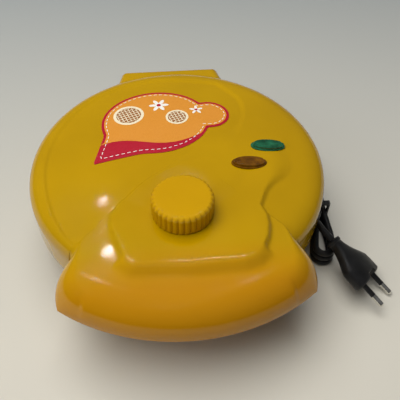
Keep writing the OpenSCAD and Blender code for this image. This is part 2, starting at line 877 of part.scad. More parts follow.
// Point of the hank at ring position u: s runs along it, w across it, then both are bent.
function hank_flat(u) = let(
        loop = floor(u / hank_rings),
        i = u - loop * hank_rings,
        climb = i < 13 ? 0 : i < 18 ? smooth((i - 13) / 5) : 1,
        z = cord_z + hank_pitch * (loop + climb))
    i < 7 ? let(s = hank_half * (1 - i / 3)) [s, -hank_width(s), z] :
    i < 12 ? let(a = 180 + 30 * (i - 6)) [-hank_half + hank_fold * sin(a), hank_fold * cos(a), z] :
    i < 19 ? let(s = hank_half * ((i - 12) / 3 - 1)) [s, hank_width(s), z] :
    let(a = 30 * (i - 18)) [hank_half + hank_fold * sin(a), hank_fold * cos(a), z];

function hank_point(u) = let(f = hank_flat(u), a = f[0] / hank_bend * 180 / PI)
    [hank_at[0] - hank_bend + (hank_bend + f[1]) * cos(a), hank_at[1] + (hank_bend + f[1]) * sin(a), f[2]];

hank_last = hank_rings * (hank_loops - 1) + 3;
hank_path = [for (u = [0:hank_last]) hank_point(u)];

// Least gap of the hank to itself, measured between points four to a ring step.
hank_dots = [for (i = [0:hank_last - 1]) for (k = [0:3])
    hank_path[i] + (hank_path[i + 1] - hank_path[i]) * k / 4];
hank_near = [for (i = [0:len(hank_dots) - 30]) min([for (j = [i + 28:len(hank_dots) - 1])
    norm(hank_dots[i] - hank_dots[j])])];
echo(str("Least gap of the hank to itself: ", min(hank_near) - cord_d, " mm"));

cord_route = [[0, 131, 15], [0, 136, 15], [3, 144, 12], [10, 150, 8], [20, 153, 4.5], [32, 153, 2.45],
    [46, 150, 2.45], [60, 144, 2.45], [74, 134, 2.45], [86, 121, 2.45], [94, 106, 2.45],
    [99, 90, 2.45], [101, 72, 2.45], [100, 54, 2.45]];
tail_route = [[101, -30, 21.5], [100, -37, 26], [100.5, -43, 28.2]];

module power_cord() {
    lead = hank_path[0];
    into = unit(hank_path[1] - hank_path[0]);
    start = [0, block_y + gland_l - 0.1, gland_z];
    color(black) at_plates()
        tube(concat([start], [for (p = cord_route) if (p[1] > start[1] + 2 || p[2] < 14) p],
            [lead - into * cord_d, lead]), cord_r, 8);
}

module cord_hank() {
    color(black) at_plates() tube(hank_path, cord_r, 6);
}

module cord_tail() {
    from = hank_path[hank_last];
    away = unit(hank_path[hank_last] - hank_path[hank_last - 1]);
    neck = plug_back();
    back = plug_axis();
    color(black) at_plates()
        tube(concat([from, from + away * cord_d], tail_route, [neck - back * cord_d, neck]), cord_r, 8);
}

// Direction that the plug's pins point to, and the place where the cord enters it.
function plug_axis() =
    [cos(plug_turn[1]) * cos(plug_turn[2]), cos(plug_turn[1]) * sin(plug_turn[2]), -sin(plug_turn[1])];
function plug_back() = plug_at - plug_axis() * plug_l;

// Turns a drawing whose pins point along +X into the plug's place on the table.
module at_plug() {
    at_plates() translate(plug_at) rotate(plug_turn) rotate([plug_roll, 0, 0]) children();
}

module plug_body() {
    nose = 14;
    notch_l = 3;
    notch_w = 10;
    color(black) at_plug() difference() {
        union() {
            hull() {
                for (s = [-1, 1])
                    translate([-nose, s * (plug_w - plug_t) / 2, 0]) rotate([0, 90, 0])
                        cylinder(r = plug_t / 2, h = nose, $fn = 32);
                translate([-plug_l + 3, 0, 0]) rotate([0, 90, 0]) cylinder(r = plug_neck_r, h = 1, $fn = 32);
            }
            translate([-plug_l, 0, 0]) rotate([0, 90, 0]) cylinder(r = plug_neck_r + 0.5, h = 3, $fn = 48);
            for (s = [-1, 1])
                translate([-overlap, s * plug_pitch / 2, 0]) rotate([0, 90, 0])
                    cylinder(r = plug_pin_r - 0.1, h = plug_sleeve_l + overlap, $fn = 48);
        }
        translate([-notch_l, -notch_w / 2, -far / 2]) cube([far, notch_w, far]);
    }
}

module plug_pins() {
    color(steel) at_plug()
        for (s = [-1, 1])
            translate([plug_sleeve_l, s * plug_pitch / 2, 0]) rotate([0, 90, 0]) {
                cylinder(r = plug_pin_r, h = plug_pin_l - plug_sleeve_l - 1, $fn = 48);
                translate([0, 0, plug_pin_l - plug_sleeve_l - 1])
                    cylinder(r1 = plug_pin_r, r2 = plug_pin_r - 0.8, h = 1, $fn = 48);
            }
}

// A band round the middle of the hank.
module cord_tie() {
    h = hank_pitch * hank_loops + 0.5;
    half = hank_waist + cord_r + 0.6;
    color(black) at_plates() translate([hank_at[0], hank_at[1] + 1.7, 0]) rotate([90, 0, 0])
        linear_extrude(3.4) translate([-half - 1, 0]) difference() {
            square([2 * half + 2, h + 2]);
            translate([1, -overlap]) square([2 * half, h + overlap]);
        }
}

// Turns a drawing to lie on the lid's swirl at p.
module at_lens(p) {
    r = norm(p);
    translate([p[0], p[1], crown_at(r) + swirl_step])
        rotate(a = asin(r / crown_r), v = [-p[1], p[0], 0]) children();
}

// A lens with an oval head on the lid and a hollow stem through it.
module lens(p, tint) {
    stem_l = 7;
    color(tint) at_plates() at_lens(p) difference() {
        union() {
            translate([0, 0, lens_lift]) linear_extrude(lens_h - 1 - lens_lift) oval(lens_l, lens_w);
            translate([0, 0, lens_h - 1]) linear_extrude(0.9) oval(lens_l - 1.6, lens_w - 1.6);
            translate([0, 0, -stem_l]) linear_extrude(stem_l + 1)
                oval(lens_l - 2 * lens_wall - 2 * lens_fit, lens_w - 2 * lens_wall - 2 * lens_fit);
        }
        translate([0, 0, -stem_l - overlap]) linear_extrude(stem_l + 1.6)
            oval(lens_l - 4 * lens_wall - 2 * lens_fit, lens_w - 4 * lens_wall - 2 * lens_fit);
    }
}

module green_lens() {
    lens(green_at, [0.10, 0.55, 0.38, 0.8]);
}

module amber_lens() {
    lens(amber_at, [0.62, 0.36, 0.05, 0.8]);
}

// Two neon capsules, one in the stem of each lens.
module neon_lamps() {
    color([0.95, 0.8, 0.6, 0.7]) at_plates()
        for (p = [green_at, amber_at])
            at_lens(p) translate([0, 0, lamp_floor + 1.3]) {
                cylinder(r = lamp_r, h = 6, $fn = 32);
                translate([0, 0, 6]) sphere(r = lamp_r, $fn = 32);
            }
}

// Strap between the two lamp cups.
module lamp_bridge() {
    d = green_at - amber_at;
    middle = (green_at + amber_at) / 2;
    at_lens(middle) translate([0, 0, lamp_floor]) rotate(atan2(d[1], d[0]))
        translate([-norm(d) / 2 + 3, -3, 0]) cube([norm(d) - 6, 6, 1.8]);
}

// The holder that clips under both lens stems and carries the lamps.
module lamp_holder() {
    color(ceramic) at_plates() difference() {
        union() {
            for (p = [green_at, amber_at])
                at_lens(p) translate([0, 0, lamp_floor]) linear_extrude(3) oval(lens_l - 3, lens_w - 0.4);
            lamp_bridge();
        }
        for (p = [green_at, amber_at])
            at_lens(p) translate([0, 0, lamp_floor + 1.2]) cylinder(r = lamp_r + 0.1, h = 6, $fn = 32);
    }
}

// A sheet bridge over the element, with its feet on the plate's outer and inner ledges.
module thermostat_bracket() {
    foot_z = upper_face + plate_t + 2.2;
    half = element_r + 6;
    w = 14;
    t = 1.2;
    color(steel) at_plates() translate([-w / 2, -element_ring, 0]) {
        translate([0, -half, thermostat_z - t]) cube([w, 2 * half, t]);
        for (y = [-half, half - t])
            translate([0, y, foot_z]) cube([w, t, thermostat_z - foot_z]);
        for (y = [-half - 3, half - t])
            translate([0, y, foot_z]) cube([w, 3 + t, t]);
    }
}

// A stack of ceramic wafers with a terminal at each end, bored for the shaft.
module thermostat() {
    color(ceramic) at_plates() translate([0, -knob_y, thermostat_z]) difference() {
        union() {
            translate([-8, -6, 0]) cube([16, 12, thermostat_h - 3]);
            cylinder(r = 5, h = thermostat_h, $fn = 48);
            for (s = [-1, 1])
                translate([s * 10 - 3, -3, 3]) cube([6, 6, 0.8]);
        }
        translate([0, 0, 3]) cylinder(r = shaft_r + shaft_clear, h = far, $fn = 48);
    }
}

module thermostat_shaft() {
    top = knob_z + knob_h - 4;
    from = thermostat_z + 3.3;
    color(steel) at_plates() translate([0, -knob_y, from]) difference() {
        cylinder(r = shaft_r, h = top - from, $fn = 48);
        translate([-shaft_r, shaft_r - shaft_flat - 0.1, knob_z - from - 0.5]) cube([2 * shaft_r, 4, far]);
    }
}

module upper_leads() {
    tab_z = thermostat_z + 4.9;
    rod_z = upper_element_z + 2.3;
    end = amber_at - [8, 0];
    color("#B33A2B") at_plates() {
        tube([[-11, -knob_y, tab_z], [-14, -knob_y, tab_z + 0.2], [-19, -48, tab_z + 2],
            [-20, -30, tab_z + 3], [-17, 0, tab_z + 3],
            [-12, 36, tab_z + 3], [-9, 54, tab_z + 2], [-8.5, 60, tab_z - 1],
            [-8.5, 60.8, rod_z + 1], [-8.5, 60.8, rod_z]], 1, 8, [1, 1, 1]);
        tube([[11, -knob_y, tab_z], [14, -knob_y, tab_z + 0.2], [22, -50, tab_z + 1], [32, -34, tab_z + 1.5],
            [end[0] - 3, end[1] - 3, tab_z + 1.5], [end[0], end[1], tab_z + 2],
            [end[0], end[1], tab_z + 4]], 1, 8, [1, -1, 1]);
    }
}

// Fluted knob: a rounded cap over a hollow skirt, with a hub for the shaft.
module knob() {
    flute_r = 1.25;
    skirt = 2.2;
    depth = knob_h - 3.4;
    color(yellow) at_plates() translate([0, -knob_y, knob_z]) difference() {
        intersection() {
            linear_extrude(knob_h) difference() {
                circle(r = knob_r, $fn = 180);
                for (i = [0:flute_count - 1])
                    rotate(i * 360 / flute_count) translate([knob_r + 0.55, 0]) circle(r = flute_r, $fn = 24);
            }
            rotate_extrude($fn = 180) polygon(concat(
                [[0, 0], [knob_r + 0.2, 0], [knob_r + 0.2, 2]],
                arc([knob_r - 2.9, knob_h - 2.6], 2.6, 5, 84, 6),
                [[0, knob_h]]));
        }
        difference() {
            translate([0, 0, -overlap]) cylinder(r = knob_r - skirt - 1, h = depth + overlap);
            cylinder(r = shaft_r + 3, h = knob_h, $fn = 64);
        }
        difference() {
            translate([0, 0, -overlap])
                cylinder(r = shaft_r + shaft_clear, h = depth + overlap, $fn = 48);
            translate([-shaft_r, shaft_r - shaft_flat, 0]) cube([2 * shaft_r, 4, knob_h]);
        }
    }
}

// Printed label: a thin sheet that follows the crown.
module label_plate() {
    color("#E59A2C") at_plates() difference() {
        intersection() {
            translate([0, 0, crown_z - crown_r + label_gap + label_t]) sphere(r = crown_r, $fn = 360);
            translate([0, 0, ring_z - 6]) linear_extrude(20) label_plan();
        }
        translate([0, 0, crown_z - crown_r + label_gap]) sphere(r = crown_r, $fn = 360);
    }
}

// A plain leaf shape: an oval drawn out to a point at its lower left.
module label_plan() {
    pull_at = 222;
    translate(label_c) rotate(12) polygon([for (i = [0:71]) let(a = i * 5,
            k = 1 + 0.42 * pow(max(0, cos(a - pull_at)), 12))
        [label_l / 2 * k * cos(a), label_w / 2 * k * sin(a)]]);
}

lower_housing();
rubber_feet();
lower_baking_plate();
lower_plate_screws();
lower_element();
lower_reflector();
terminal_block();
thermal_fuse();
lower_leads();
hinge_pin();
pin_nuts();
cord_gland();
power_cord();
cord_hank();
cord_tail();
cord_tie();
plug_body();
plug_pins();
upper_housing();
handle_cover();
handle_screws();
upper_baking_plate();
upper_plate_screws();
upper_element();
upper_reflector();
thermostat();
thermostat_bracket();
upper_leads();
green_lens();
amber_lens();
neon_lamps();
lamp_holder();
label_plate();
knob();
thermostat_shaft();
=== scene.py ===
import math

import bpy
import mathutils
import numpy as np
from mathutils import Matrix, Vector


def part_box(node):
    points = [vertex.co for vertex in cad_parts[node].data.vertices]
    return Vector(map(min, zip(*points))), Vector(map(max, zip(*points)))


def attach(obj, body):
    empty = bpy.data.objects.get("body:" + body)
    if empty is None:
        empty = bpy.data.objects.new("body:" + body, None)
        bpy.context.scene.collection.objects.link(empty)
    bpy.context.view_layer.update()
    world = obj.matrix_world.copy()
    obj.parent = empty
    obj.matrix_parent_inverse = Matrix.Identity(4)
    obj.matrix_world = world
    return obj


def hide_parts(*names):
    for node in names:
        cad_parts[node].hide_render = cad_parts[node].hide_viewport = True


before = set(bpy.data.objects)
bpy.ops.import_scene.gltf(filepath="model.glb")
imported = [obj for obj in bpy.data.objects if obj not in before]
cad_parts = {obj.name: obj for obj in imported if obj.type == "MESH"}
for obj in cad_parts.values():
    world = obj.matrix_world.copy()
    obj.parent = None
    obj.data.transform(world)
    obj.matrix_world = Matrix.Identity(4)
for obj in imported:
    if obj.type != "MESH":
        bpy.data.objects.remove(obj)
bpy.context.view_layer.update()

# Electric krumkake iron. Shapes are drawn in millimetres about the middle of the baking
# plates, with the handle towards -Y, and placed in the frame by toFrame().
platesY = sum(corner[1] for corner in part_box("lower_baking_plate")) / 2
metre = 0.001


def toFrame(points):
    # Millimetres about the plates to metres in the frame: moved along Y, then scaled.
    return np.asarray(points, float) * metre + [0, platesY, 0]


def smoothStep(t):
    t = np.clip(t, 0, 1)
    return t * t * (3 - 2 * t)


def unit(v):
    return v / np.linalg.norm(v, axis=-1, keepdims=True)


# Colour and nodes

def colour(hexCode, alpha=1.0):
    # sRGB hex to linear: the lower part is a straight line, the rest a power of 2.4.
    s = np.array([int(hexCode[i:i + 2], 16) for i in (1, 3, 5)]) / 255
    linear = np.where(s <= 0.04045, s / 12.92, ((s + 0.055) / 1.055) ** 2.4)
    return (*linear.tolist(), alpha)


def addNode(tree, kind, links=None, inputs=None, **settings):
    # One node with its settings, its input values and its links, as {input: (node, output)}.
    node = tree.nodes.new(kind)
    for name, value in settings.items():
        setattr(node, name, value)
    for name, value in (inputs or {}).items():
        node.inputs[name].default_value = value
    for name, (source, output) in (links or {}).items():
        tree.links.new(source.outputs[output], node.inputs[name])
    return node


def startMaterial(name, **inputs):
    material = bpy.data.materials.new(name)
    material.use_nodes = True
    tree = material.node_tree
    shader = tree.nodes["Principled BSDF"]
    for key, value in inputs.items():
        shader.inputs[key.replace("_", " ")].default_value = value
    place = addNode(tree, "ShaderNodeTexCoord")
    return material, tree, shader, place


def perMetre(sizeMm):
    # Scale of a noise or cell pattern whose features are about that many millimetres.
    return 1000 / sizeMm


def mottle(tree, place, shader, dark, light, sizeMm, low=0.35, high=0.65, detail=3):
    # Colour that drifts between two tones in patches of that size.
    noise = addNode(tree, "ShaderNodeTexNoise", {"Vector": (place, "Object")},
                    {"Scale": perMetre(sizeMm), "Detail": detail})
    ramp = addNode(tree, "ShaderNodeValToRGB", {"Fac": (noise, "Fac")})
    ramp.color_ramp.elements[0].position = low
    ramp.color_ramp.elements[0].color = colour(dark)
    ramp.color_ramp.elements[1].position = high
    ramp.color_ramp.elements[1].color = colour(light)
    tree.links.new(ramp.outputs["Color"], shader.inputs["Base Color"])
    return ramp


def grain(tree, place, shader, sizeMm, heightMm, detail=2, under=None):
    # Relief of that grain size and height, laid on top of an earlier relief.
    noise = addNode(tree, "ShaderNodeTexNoise", {"Vector": (place, "Object")},
                    {"Scale": perMetre(sizeMm), "Detail": detail})
    links = {"Height": (noise, "Fac")}
    if under:
        links["Normal"] = (under, "Normal")
    bump = addNode(tree, "ShaderNodeBump", links, {"Strength": 1.0, "Distance": heightMm * metre})
    tree.links.new(bump.outputs["Normal"], shader.inputs["Normal"])
    return bump


def roughDrift(tree, place, shader, low, high, sizeMm):
    # Roughness that drifts between two values, as where hands have rubbed a surface.
    noise = addNode(tree, "ShaderNodeTexNoise", {"Vector": (place, "Object")},
                    {"Scale": perMetre(sizeMm), "Detail": 3})
    spread = addNode(tree, "ShaderNodeMapRange", {"Value": (noise, "Fac")},
                     {"From Min": 0.3, "From Max": 0.7, "To Min": low, "To Max": high})
    tree.links.new(spread.outputs["Result"], shader.inputs["Roughness"])


def glossyAbs(name, dark, light, paintedWarmReflection):
    # Injection moulded ABS from a polished tool: high gloss, faint sink waves a few
    # centimetres long that bend reflections, and an orange-peel too fine to see singly.
    material, tree, shader, place = startMaterial(name, IOR=1.5)
    ramp = mottle(tree, place, shader, dark, light, 60)
    # Painted warm reflection: towards the handle's front the tone mixes up to 80 % into a warmer orange over
    # 28 mm of Y, standing in for the warm surroundings the handle mirrors.
    split = addNode(tree, "ShaderNodeSeparateXYZ", {"Vector": (place, "Object")})
    share = addNode(tree, "ShaderNodeMapRange", {"Value": (split, "Y")},
                    {"From Min": -0.072, "From Max": -0.1, "To Min": 0, "To Max": 0.8})
    mix = addNode(tree, "ShaderNodeMix", {0: (share, "Result"), 6: (ramp, "Color")},
                  {7: colour(paintedWarmReflection)}, data_type="RGBA")
    tree.links.new(mix.outputs[2], shader.inputs["Base Color"])
    roughDrift(tree, place, shader, 0.05, 0.11, 14)
    wave = grain(tree, place, shader, 34, 0.16, detail=1)
    grain(tree, place, shader, 1.6, 0.0022, under=wave)
    return material


def softPvc(name, dark, light):
    # Extruded or overmoulded PVC: black, half matt, with a fine moulded grain of 0.5 mm.
    material, tree, shader, place = startMaterial(name, IOR=1.52)
    mottle(tree, place, shader, dark, light, 9)
    roughDrift(tree, place, shader, 0.34, 0.5, 6)
    grain(tree, place, shader, 0.5, 0.02)
    return material


def nonStickCast():
    # Die-cast aluminium sprayed with a dark PTFE coat: satin, with fine bright flecks.
    material, tree, shader, place = startMaterial("ptfeCoatedCastAluminium", IOR=1.38)
    mottle(tree, place, shader, "#2C2C2E", "#45454A", 0.7, 0.42, 0.72, 4)
    roughDrift(tree, place, shader, 0.32, 0.46, 9)
    grain(tree, place, shader, 0.6, 0.012)
    return material


def zincSteel():
    # Zinc plated steel: bright and cool, with drawing marks along the part.
    material, tree, shader, place = startMaterial("zincPlatedSteel", Metallic=1.0)
    mottle(tree, place, shader, "#9A9DA0", "#C9CCCE", 2.5)
    roughDrift(tree, place, shader, 0.22, 0.38, 1.5)
    grain(tree, place, shader, 0.4, 0.006)
    return material


def nickelPins():
    # Nickel plated brass, turned and polished: nearly white, with faint lathe rings.
    material, tree, shader, place = startMaterial("nickelPlatedBrass", Metallic=1.0)
    mottle(tree, place, shader, "#D9D6CE", "#F2F0EA", 3)
    roughDrift(tree, place, shader, 0.12, 0.24, 1.2)
    grain(tree, place, shader, 0.5, 0.003)
    return material


def aluminisedSheet():
    # Hot-dip aluminised sheet: grey, rolled, with a frosty spangle of 3 mm.
    material, tree, shader, place = startMaterial("aluminisedSheet", Metallic=1.0)
    cells = addNode(tree, "ShaderNodeTexVoronoi", {"Vector": (place, "Object")},
                    {"Scale": perMetre(3)})
    ramp = addNode(tree, "ShaderNodeValToRGB", {"Fac": (cells, "Distance")})
    ramp.color_ramp.elements[0].color = colour("#8B8E90")
    ramp.color_ramp.elements[1].color = colour("#B9BCBE")
    tree.links.new(ramp.outputs["Color"], shader.inputs["Base Color"])
    roughDrift(tree, place, shader, 0.3, 0.5, 3)
    return material


def steatite():
    # Pressed and fired steatite: chalky off-white, matt, with pores of 0.8 mm.
    material, tree, shader, place = startMaterial("firedSteatite", IOR=1.55)
    mottle(tree, place, shader, "#D9D2C0", "#EDE8DA", 2)
    roughDrift(tree, place, shader, 0.55, 0.75, 4)
    grain(tree, place, shader, 0.8, 0.03)
    return material


def siliconeLead():
    # Glass braid sleeve dipped in red silicone: dull, with a weave of 0.9 mm.
    material, tree, shader, place = startMaterial("siliconeSleeve", IOR=1.41)
    mottle(tree, place, shader, "#8E2B20", "#B8402F", 2)
    roughDrift(tree, place, shader, 0.45, 0.6, 3)
    weave = addNode(tree, "ShaderNodeTexVoronoi", {"Vector": (place, "Object")},
                    {"Scale": perMetre(0.9)})
    bump = addNode(tree, "ShaderNodeBump", {"Height": (weave, "Distance")},
                   {"Distance": 0.1 * metre})
    tree.links.new(bump.outputs["Normal"], shader.inputs["Normal"])
    return material


def tintedLens(name, dark, light):
    # Injection moulded, dyed polycarbonate: clear to the light but dark over its cup,
    # with mould flow lines about 4 mm apart.
    material, tree, shader, place = startMaterial(name, IOR=1.58, Transmission_Weight=0.2,
                                                  Coat_Weight=0.15, Coat_Roughness=0.04)
    mottle(tree, place, shader, dark, light, 5, 0.3, 0.7)
    roughDrift(tree, place, shader, 0.05, 0.14, 4)
    grain(tree, place, shader, 4, 0.05)
    return material


def neonGlass():
    # Blown glass capsule, frosted by the electrode film: pale pinkish.
    material, tree, shader, place = startMaterial("blownNeonGlass", IOR=1.5,
                                                  Transmission_Weight=0.6)
    mottle(tree, place, shader, "#E8C8B0", "#F6E6D8", 1.5)
    roughDrift(tree, place, shader, 0.05, 0.2, 1.5)
    return material


def printedFilm(name, dark, light):
    # Offset print on a PVC label film under a clear lacquer: even ink, fine halftone
    # grain drawn at 0.5 mm, and a soft gloss.
    material, tree, shader, place = startMaterial(name, IOR=1.5, Coat_Weight=0.3,
                                                  Coat_Roughness=0.15)
    mottle(tree, place, shader, dark, light, 0.5, 0.3, 0.7, 1)
    roughDrift(tree, place, shader, 0.28, 0.4, 12)
    return material


finishes = {
    # The housing's third tone, #BC7D00, is a painted warm reflection laid over the handle's front.
    "housing": glossyAbs("mouldedYellowAbs", "#B28A00", "#BA9100", "#BC7D00"),
    "knob": glossyAbs("mouldedYellowKnobAbs", "#C29300", "#CA9A00", "#CA9A00"),
    "cord": softPvc("extrudedBlackPvc", "#101011", "#1B1B1C"),
    "rubber": softPvc("mouldedBlackRubber", "#161616", "#242424"),
    "plate": nonStickCast(),
    "steel": zincSteel(),
    "pins": nickelPins(),
    "sheet": aluminisedSheet(),
    "ceramic": steatite(),
    "lead": siliconeLead(),
    "green": tintedLens("dyedGreenPolycarbonate", "#134A30", "#2C7A56"),
    "amber": tintedLens("dyedAmberPolycarbonate", "#5A3400", "#8A5800"),
    "glass": neonGlass(),
    "labelRed": printedFilm("redLabelInk", "#A90A24", "#B51230"),
    "labelOrange": printedFilm("orangeLabelInk", "#D68A2A", "#DE9638"),
    "labelCream": printedFilm("creamLabelInk", "#EBDDB8", "#F4EBD2"),
    "labelWhite": printedFilm("whiteLabelInk", "#EDEBE4", "#F8F7F2"),
    "labelBrown": printedFilm("brownLabelInk", "#8A5226", "#A4682F"),
}
print("materials", len(finishes))


# Meshes

def makePiece(name, points, faces, finish, body, replaced=(), sharpAngle=38):
    # A piece from frame points and faces, given its finish and body; the CAD parts it stands in for are
    # hidden.
    mesh = bpy.data.meshes.new(name)
    mesh.from_pydata(points.tolist(), [], faces)
    mesh.validate()
    mesh.shade_smooth()
    mesh.set_sharp_from_angle(angle=math.radians(sharpAngle))
    mesh.materials.append(finishes[finish])
    piece = bpy.data.objects.new(name, mesh)
    bpy.context.scene.collection.objects.link(piece)
    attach(piece, body)
    if replaced:
        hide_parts(*replaced)
    return piece


def gridFaces(nu, nv, first=0, closed=True):
    # Quads between neighbouring columns u and rows v of a grid stored column by column.
    u = np.arange(nu if closed else nu - 1)[:, None]
    v = np.arange(nv - 1)[None, :]
    a = u * nv + v
    b = ((u + 1) % nu) * nv + v
    return (np.stack([a, b, b + 1, a + 1], -1).reshape(-1, 4) + first).tolist()


def poleFaces(nu, nv, row, pole, flip):
    # Triangles from a closed grid's first or last row to its pole.
    u = np.arange(nu)
    a = u * nv + row
    b = ((u + 1) % nu) * nv + row
    order = [b, a] if flip else [a, b]
    return np.stack([*order, np.full(nu, pole)], -1).tolist()


def shellPiece(name, grid, finish, body, replaced=(), sharpAngle=38, place=toFrame):
    # A closed shape of columns round an axis; the first and last rows end in a pole at
    # their mean point.
    nu, nv = grid.shape[:2]
    points = np.concatenate([grid.reshape(-1, 3), [grid[:, 0].mean(0)], [grid[:, -1].mean(0)]])
    faces = gridFaces(nu, nv) + poleFaces(nu, nv, 0, nu * nv, True)
    faces += poleFaces(nu, nv, nv - 1, nu * nv + 1, False)
    return makePiece(name, place(points), faces, finish, body, replaced, sharpAngle)


def lathe(profile, count, centre=(0, 0, 0), wobble=0):
    # Columns of a profile (radius, height) turned about Z; wobble is added to the radius
    # at each (column, row).
    profile = np.asarray(profile, float)
    a = np.arange(count) * 2 * np.pi / count
    r = profile[None, :, 0] + wobble
    z = np.broadcast_to(profile[None, :, 1], r.shape) if np.ndim(wobble) else profile[None, :, 1]
    x = r * np.cos(a)[:, None]
    y = r * np.sin(a)[:, None]
    return np.stack([x, y, np.broadcast_to(z, x.shape)], -1) + centre


def splinePoints(points, steps):
    # Catmull-Rom curve through the points, with that many steps a span.
    p = np.asarray(points, float)
    q = np.concatenate([[2 * p[0] - p[1]], p, [2 * p[-1] - p[-2]]])
    t = (np.arange(steps) / steps)[None, :, None]
    a, b, c, d = (q[i:len(q) - 3 + i, None, :] for i in range(4))
    curve = 0.5 * (2 * b + (c - a) * t + (2 * a - 5 * b + 4 * c - d) * t ** 2
                   + (3 * b - a - 3 * c + d) * t ** 3)
    return np.concatenate([curve.reshape(-1, p.shape[1]), p[-1:]])


def tubeGrid(path, radius, sides):
    # A circle carried along a path that never runs straight up: its side stays level.
    path = np.asarray(path, float)
    ahead = unit(np.gradient(path, axis=0))
    side = unit(np.cross(ahead, [0, 0, 1.0]))
    up = np.cross(side, ahead)
    a = np.arange(sides) * 2 * np.pi / sides
    r = np.broadcast_to(np.asarray(radius, float), (len(path),))[None, :, None]
    around = np.cos(a)[:, None, None] * side[None] + np.sin(a)[:, None, None] * up[None]
    return path[None] + r * around


def distanceTo(x, y, loop):
    # Distance from points to a closed outline, negative inside it.
    shape = x.shape
    px, py = x.ravel(), y.ravel()
    near = np.full(px.shape, 1e9)
    inside = np.zeros(px.shape, bool)
    for (ax, ay), (bx, by) in zip(loop, np.roll(loop, -1, axis=0)):
        dx, dy = bx - ax, by - ay
        t = np.clip(((px - ax) * dx + (py - ay) * dy) / (dx * dx + dy * dy + 1e-12), 0, 1)
        near = np.minimum(near, (px - ax - t * dx) ** 2 + (py - ay - t * dy) ** 2)
        crosses = ((ay > py) != (by > py)) & (px < ax + dx * (py - ay) / (dy + 1e-30))
        inside ^= crosses
    return np.where(inside, -1, 1).reshape(shape) * np.sqrt(near).reshape(shape)


# Camera

view = {"location": (-11.33, -275.31, 336.0), "target": (12.73, -36.76, 60.0), "roll": 0.73,
        "lens": 48.6, "sensor": 36.0}


def makeCamera(v):
    # Looks from its location to its target; roll turns it about that line.
    location, target = np.array(v["location"]), np.array(v["target"])
    back = unit(location - target)
    right = unit(np.cross([0, 0, 1.0], back))
    up = np.cross(back, right)
    roll = math.radians(v["roll"])
    across = right * math.cos(roll) + up * math.sin(roll)
    top = np.cross(back, across)
    data = bpy.data.cameras.new("photoView")
    data.lens, data.sensor_width = v["lens"], v["sensor"]
    data.clip_start, data.clip_end = 0.01, 50
    camera = bpy.data.objects.new("photoView", data)
    matrix = np.eye(4)
    matrix[:3, :3] = np.stack([across, top, back], 1)
    matrix[:3, 3] = toFrame(location)
    camera.matrix_world = mathutils.Matrix(matrix.tolist())
    bpy.context.scene.collection.objects.link(camera)
    bpy.context.scene.camera = camera


makeCamera(view)


# Cord

cord = {
    "radius": 2.4, "sides": 14, "steps": 5,
    "exit": (0, 133.9, 15),
    "fromGland": [(0, 136, 15), (3, 144, 12), (10, 150, 8), (20, 153, 4.5), (32, 153, 2.45),
                  (46, 150, 2.45), (60, 144, 2.45), (74, 134, 2.45), (86, 121, 2.45),
                  (94, 106, 2.45), (99, 90, 2.45), (101, 72, 2.45), (100, 54, 2.45)],
    "toPlug": [(101, -30, 21.5), (100, -37, 26), (100.5, -43, 28.2)],
    "hankAt": (107.8, -16), "hankBend": 140, "hankHalf": 34, "hankFold": 6, "hankWaist": 2.9,
    "hankPitch": 5.4, "hankBase": 2.45, "hankRings": 24, "hankLoops": 4,
}
plug = {
    "at": (128.4, -78.6, 11.85), "turn": (0, 21.3, -50.7), "roll": -22.8,
    "length": 36, "notchDeep": 3, "notchWide": 10, "notchFrom": -5,
    "pitch": 18.6, "sleeve": 1.9, "sleeveLength": 10, "sleeveRoot": -2, "sleeveSides": 32,
    "sides": 96, "squareY": 0.82, "squareZ": 0.72,
    "station": [-36, -36, -35.6, -33.6, -33.2, -32.6, -30, -27, -24, -21, -18, -15.5, -14, -13, -9,
                -5, -1.2, -0.4, 0, 0],
    "halfThick": [0, 4.4, 4.9, 4.9, 4.5, 4.25, 4.3, 4.45, 4.7, 5.0, 5.4, 5.9, 6.2, 6.4, 6.6,
                  6.7, 6.7, 6.4, 5.9, 5.6],
    "halfWide": [0, 4.4, 4.9, 4.9, 4.5, 4.4, 5.3, 6.8, 8.7, 10.9, 13.4, 15.4, 16.3, 16.8, 17,
                 17, 17, 16.7, 16.2, 15.9],
}


def turnMatrix(degrees):
    # Turns about X, then Y, then Z.
    x, y, z = np.radians(degrees)
    aboutX = np.array([[1, 0, 0], [0, math.cos(x), -math.sin(x)], [0, math.sin(x), math.cos(x)]])
    aboutY = np.array([[math.cos(y), 0, math.sin(y)], [0, 1, 0], [-math.sin(y), 0, math.cos(y)]])
    aboutZ = np.array([[math.cos(z), -math.sin(z), 0], [math.sin(z), math.cos(z), 0], [0, 0, 1]])
    return aboutZ @ aboutY @ aboutX


plugMatrix = turnMatrix(plug["turn"]) @ turnMatrix((plug["roll"], 0, 0))


def atPlug(points):
    # From the plug's own frame, pins along +X, to the frame.
    return toFrame(np.asarray(points, float) @ plugMatrix.T + plug["at"])


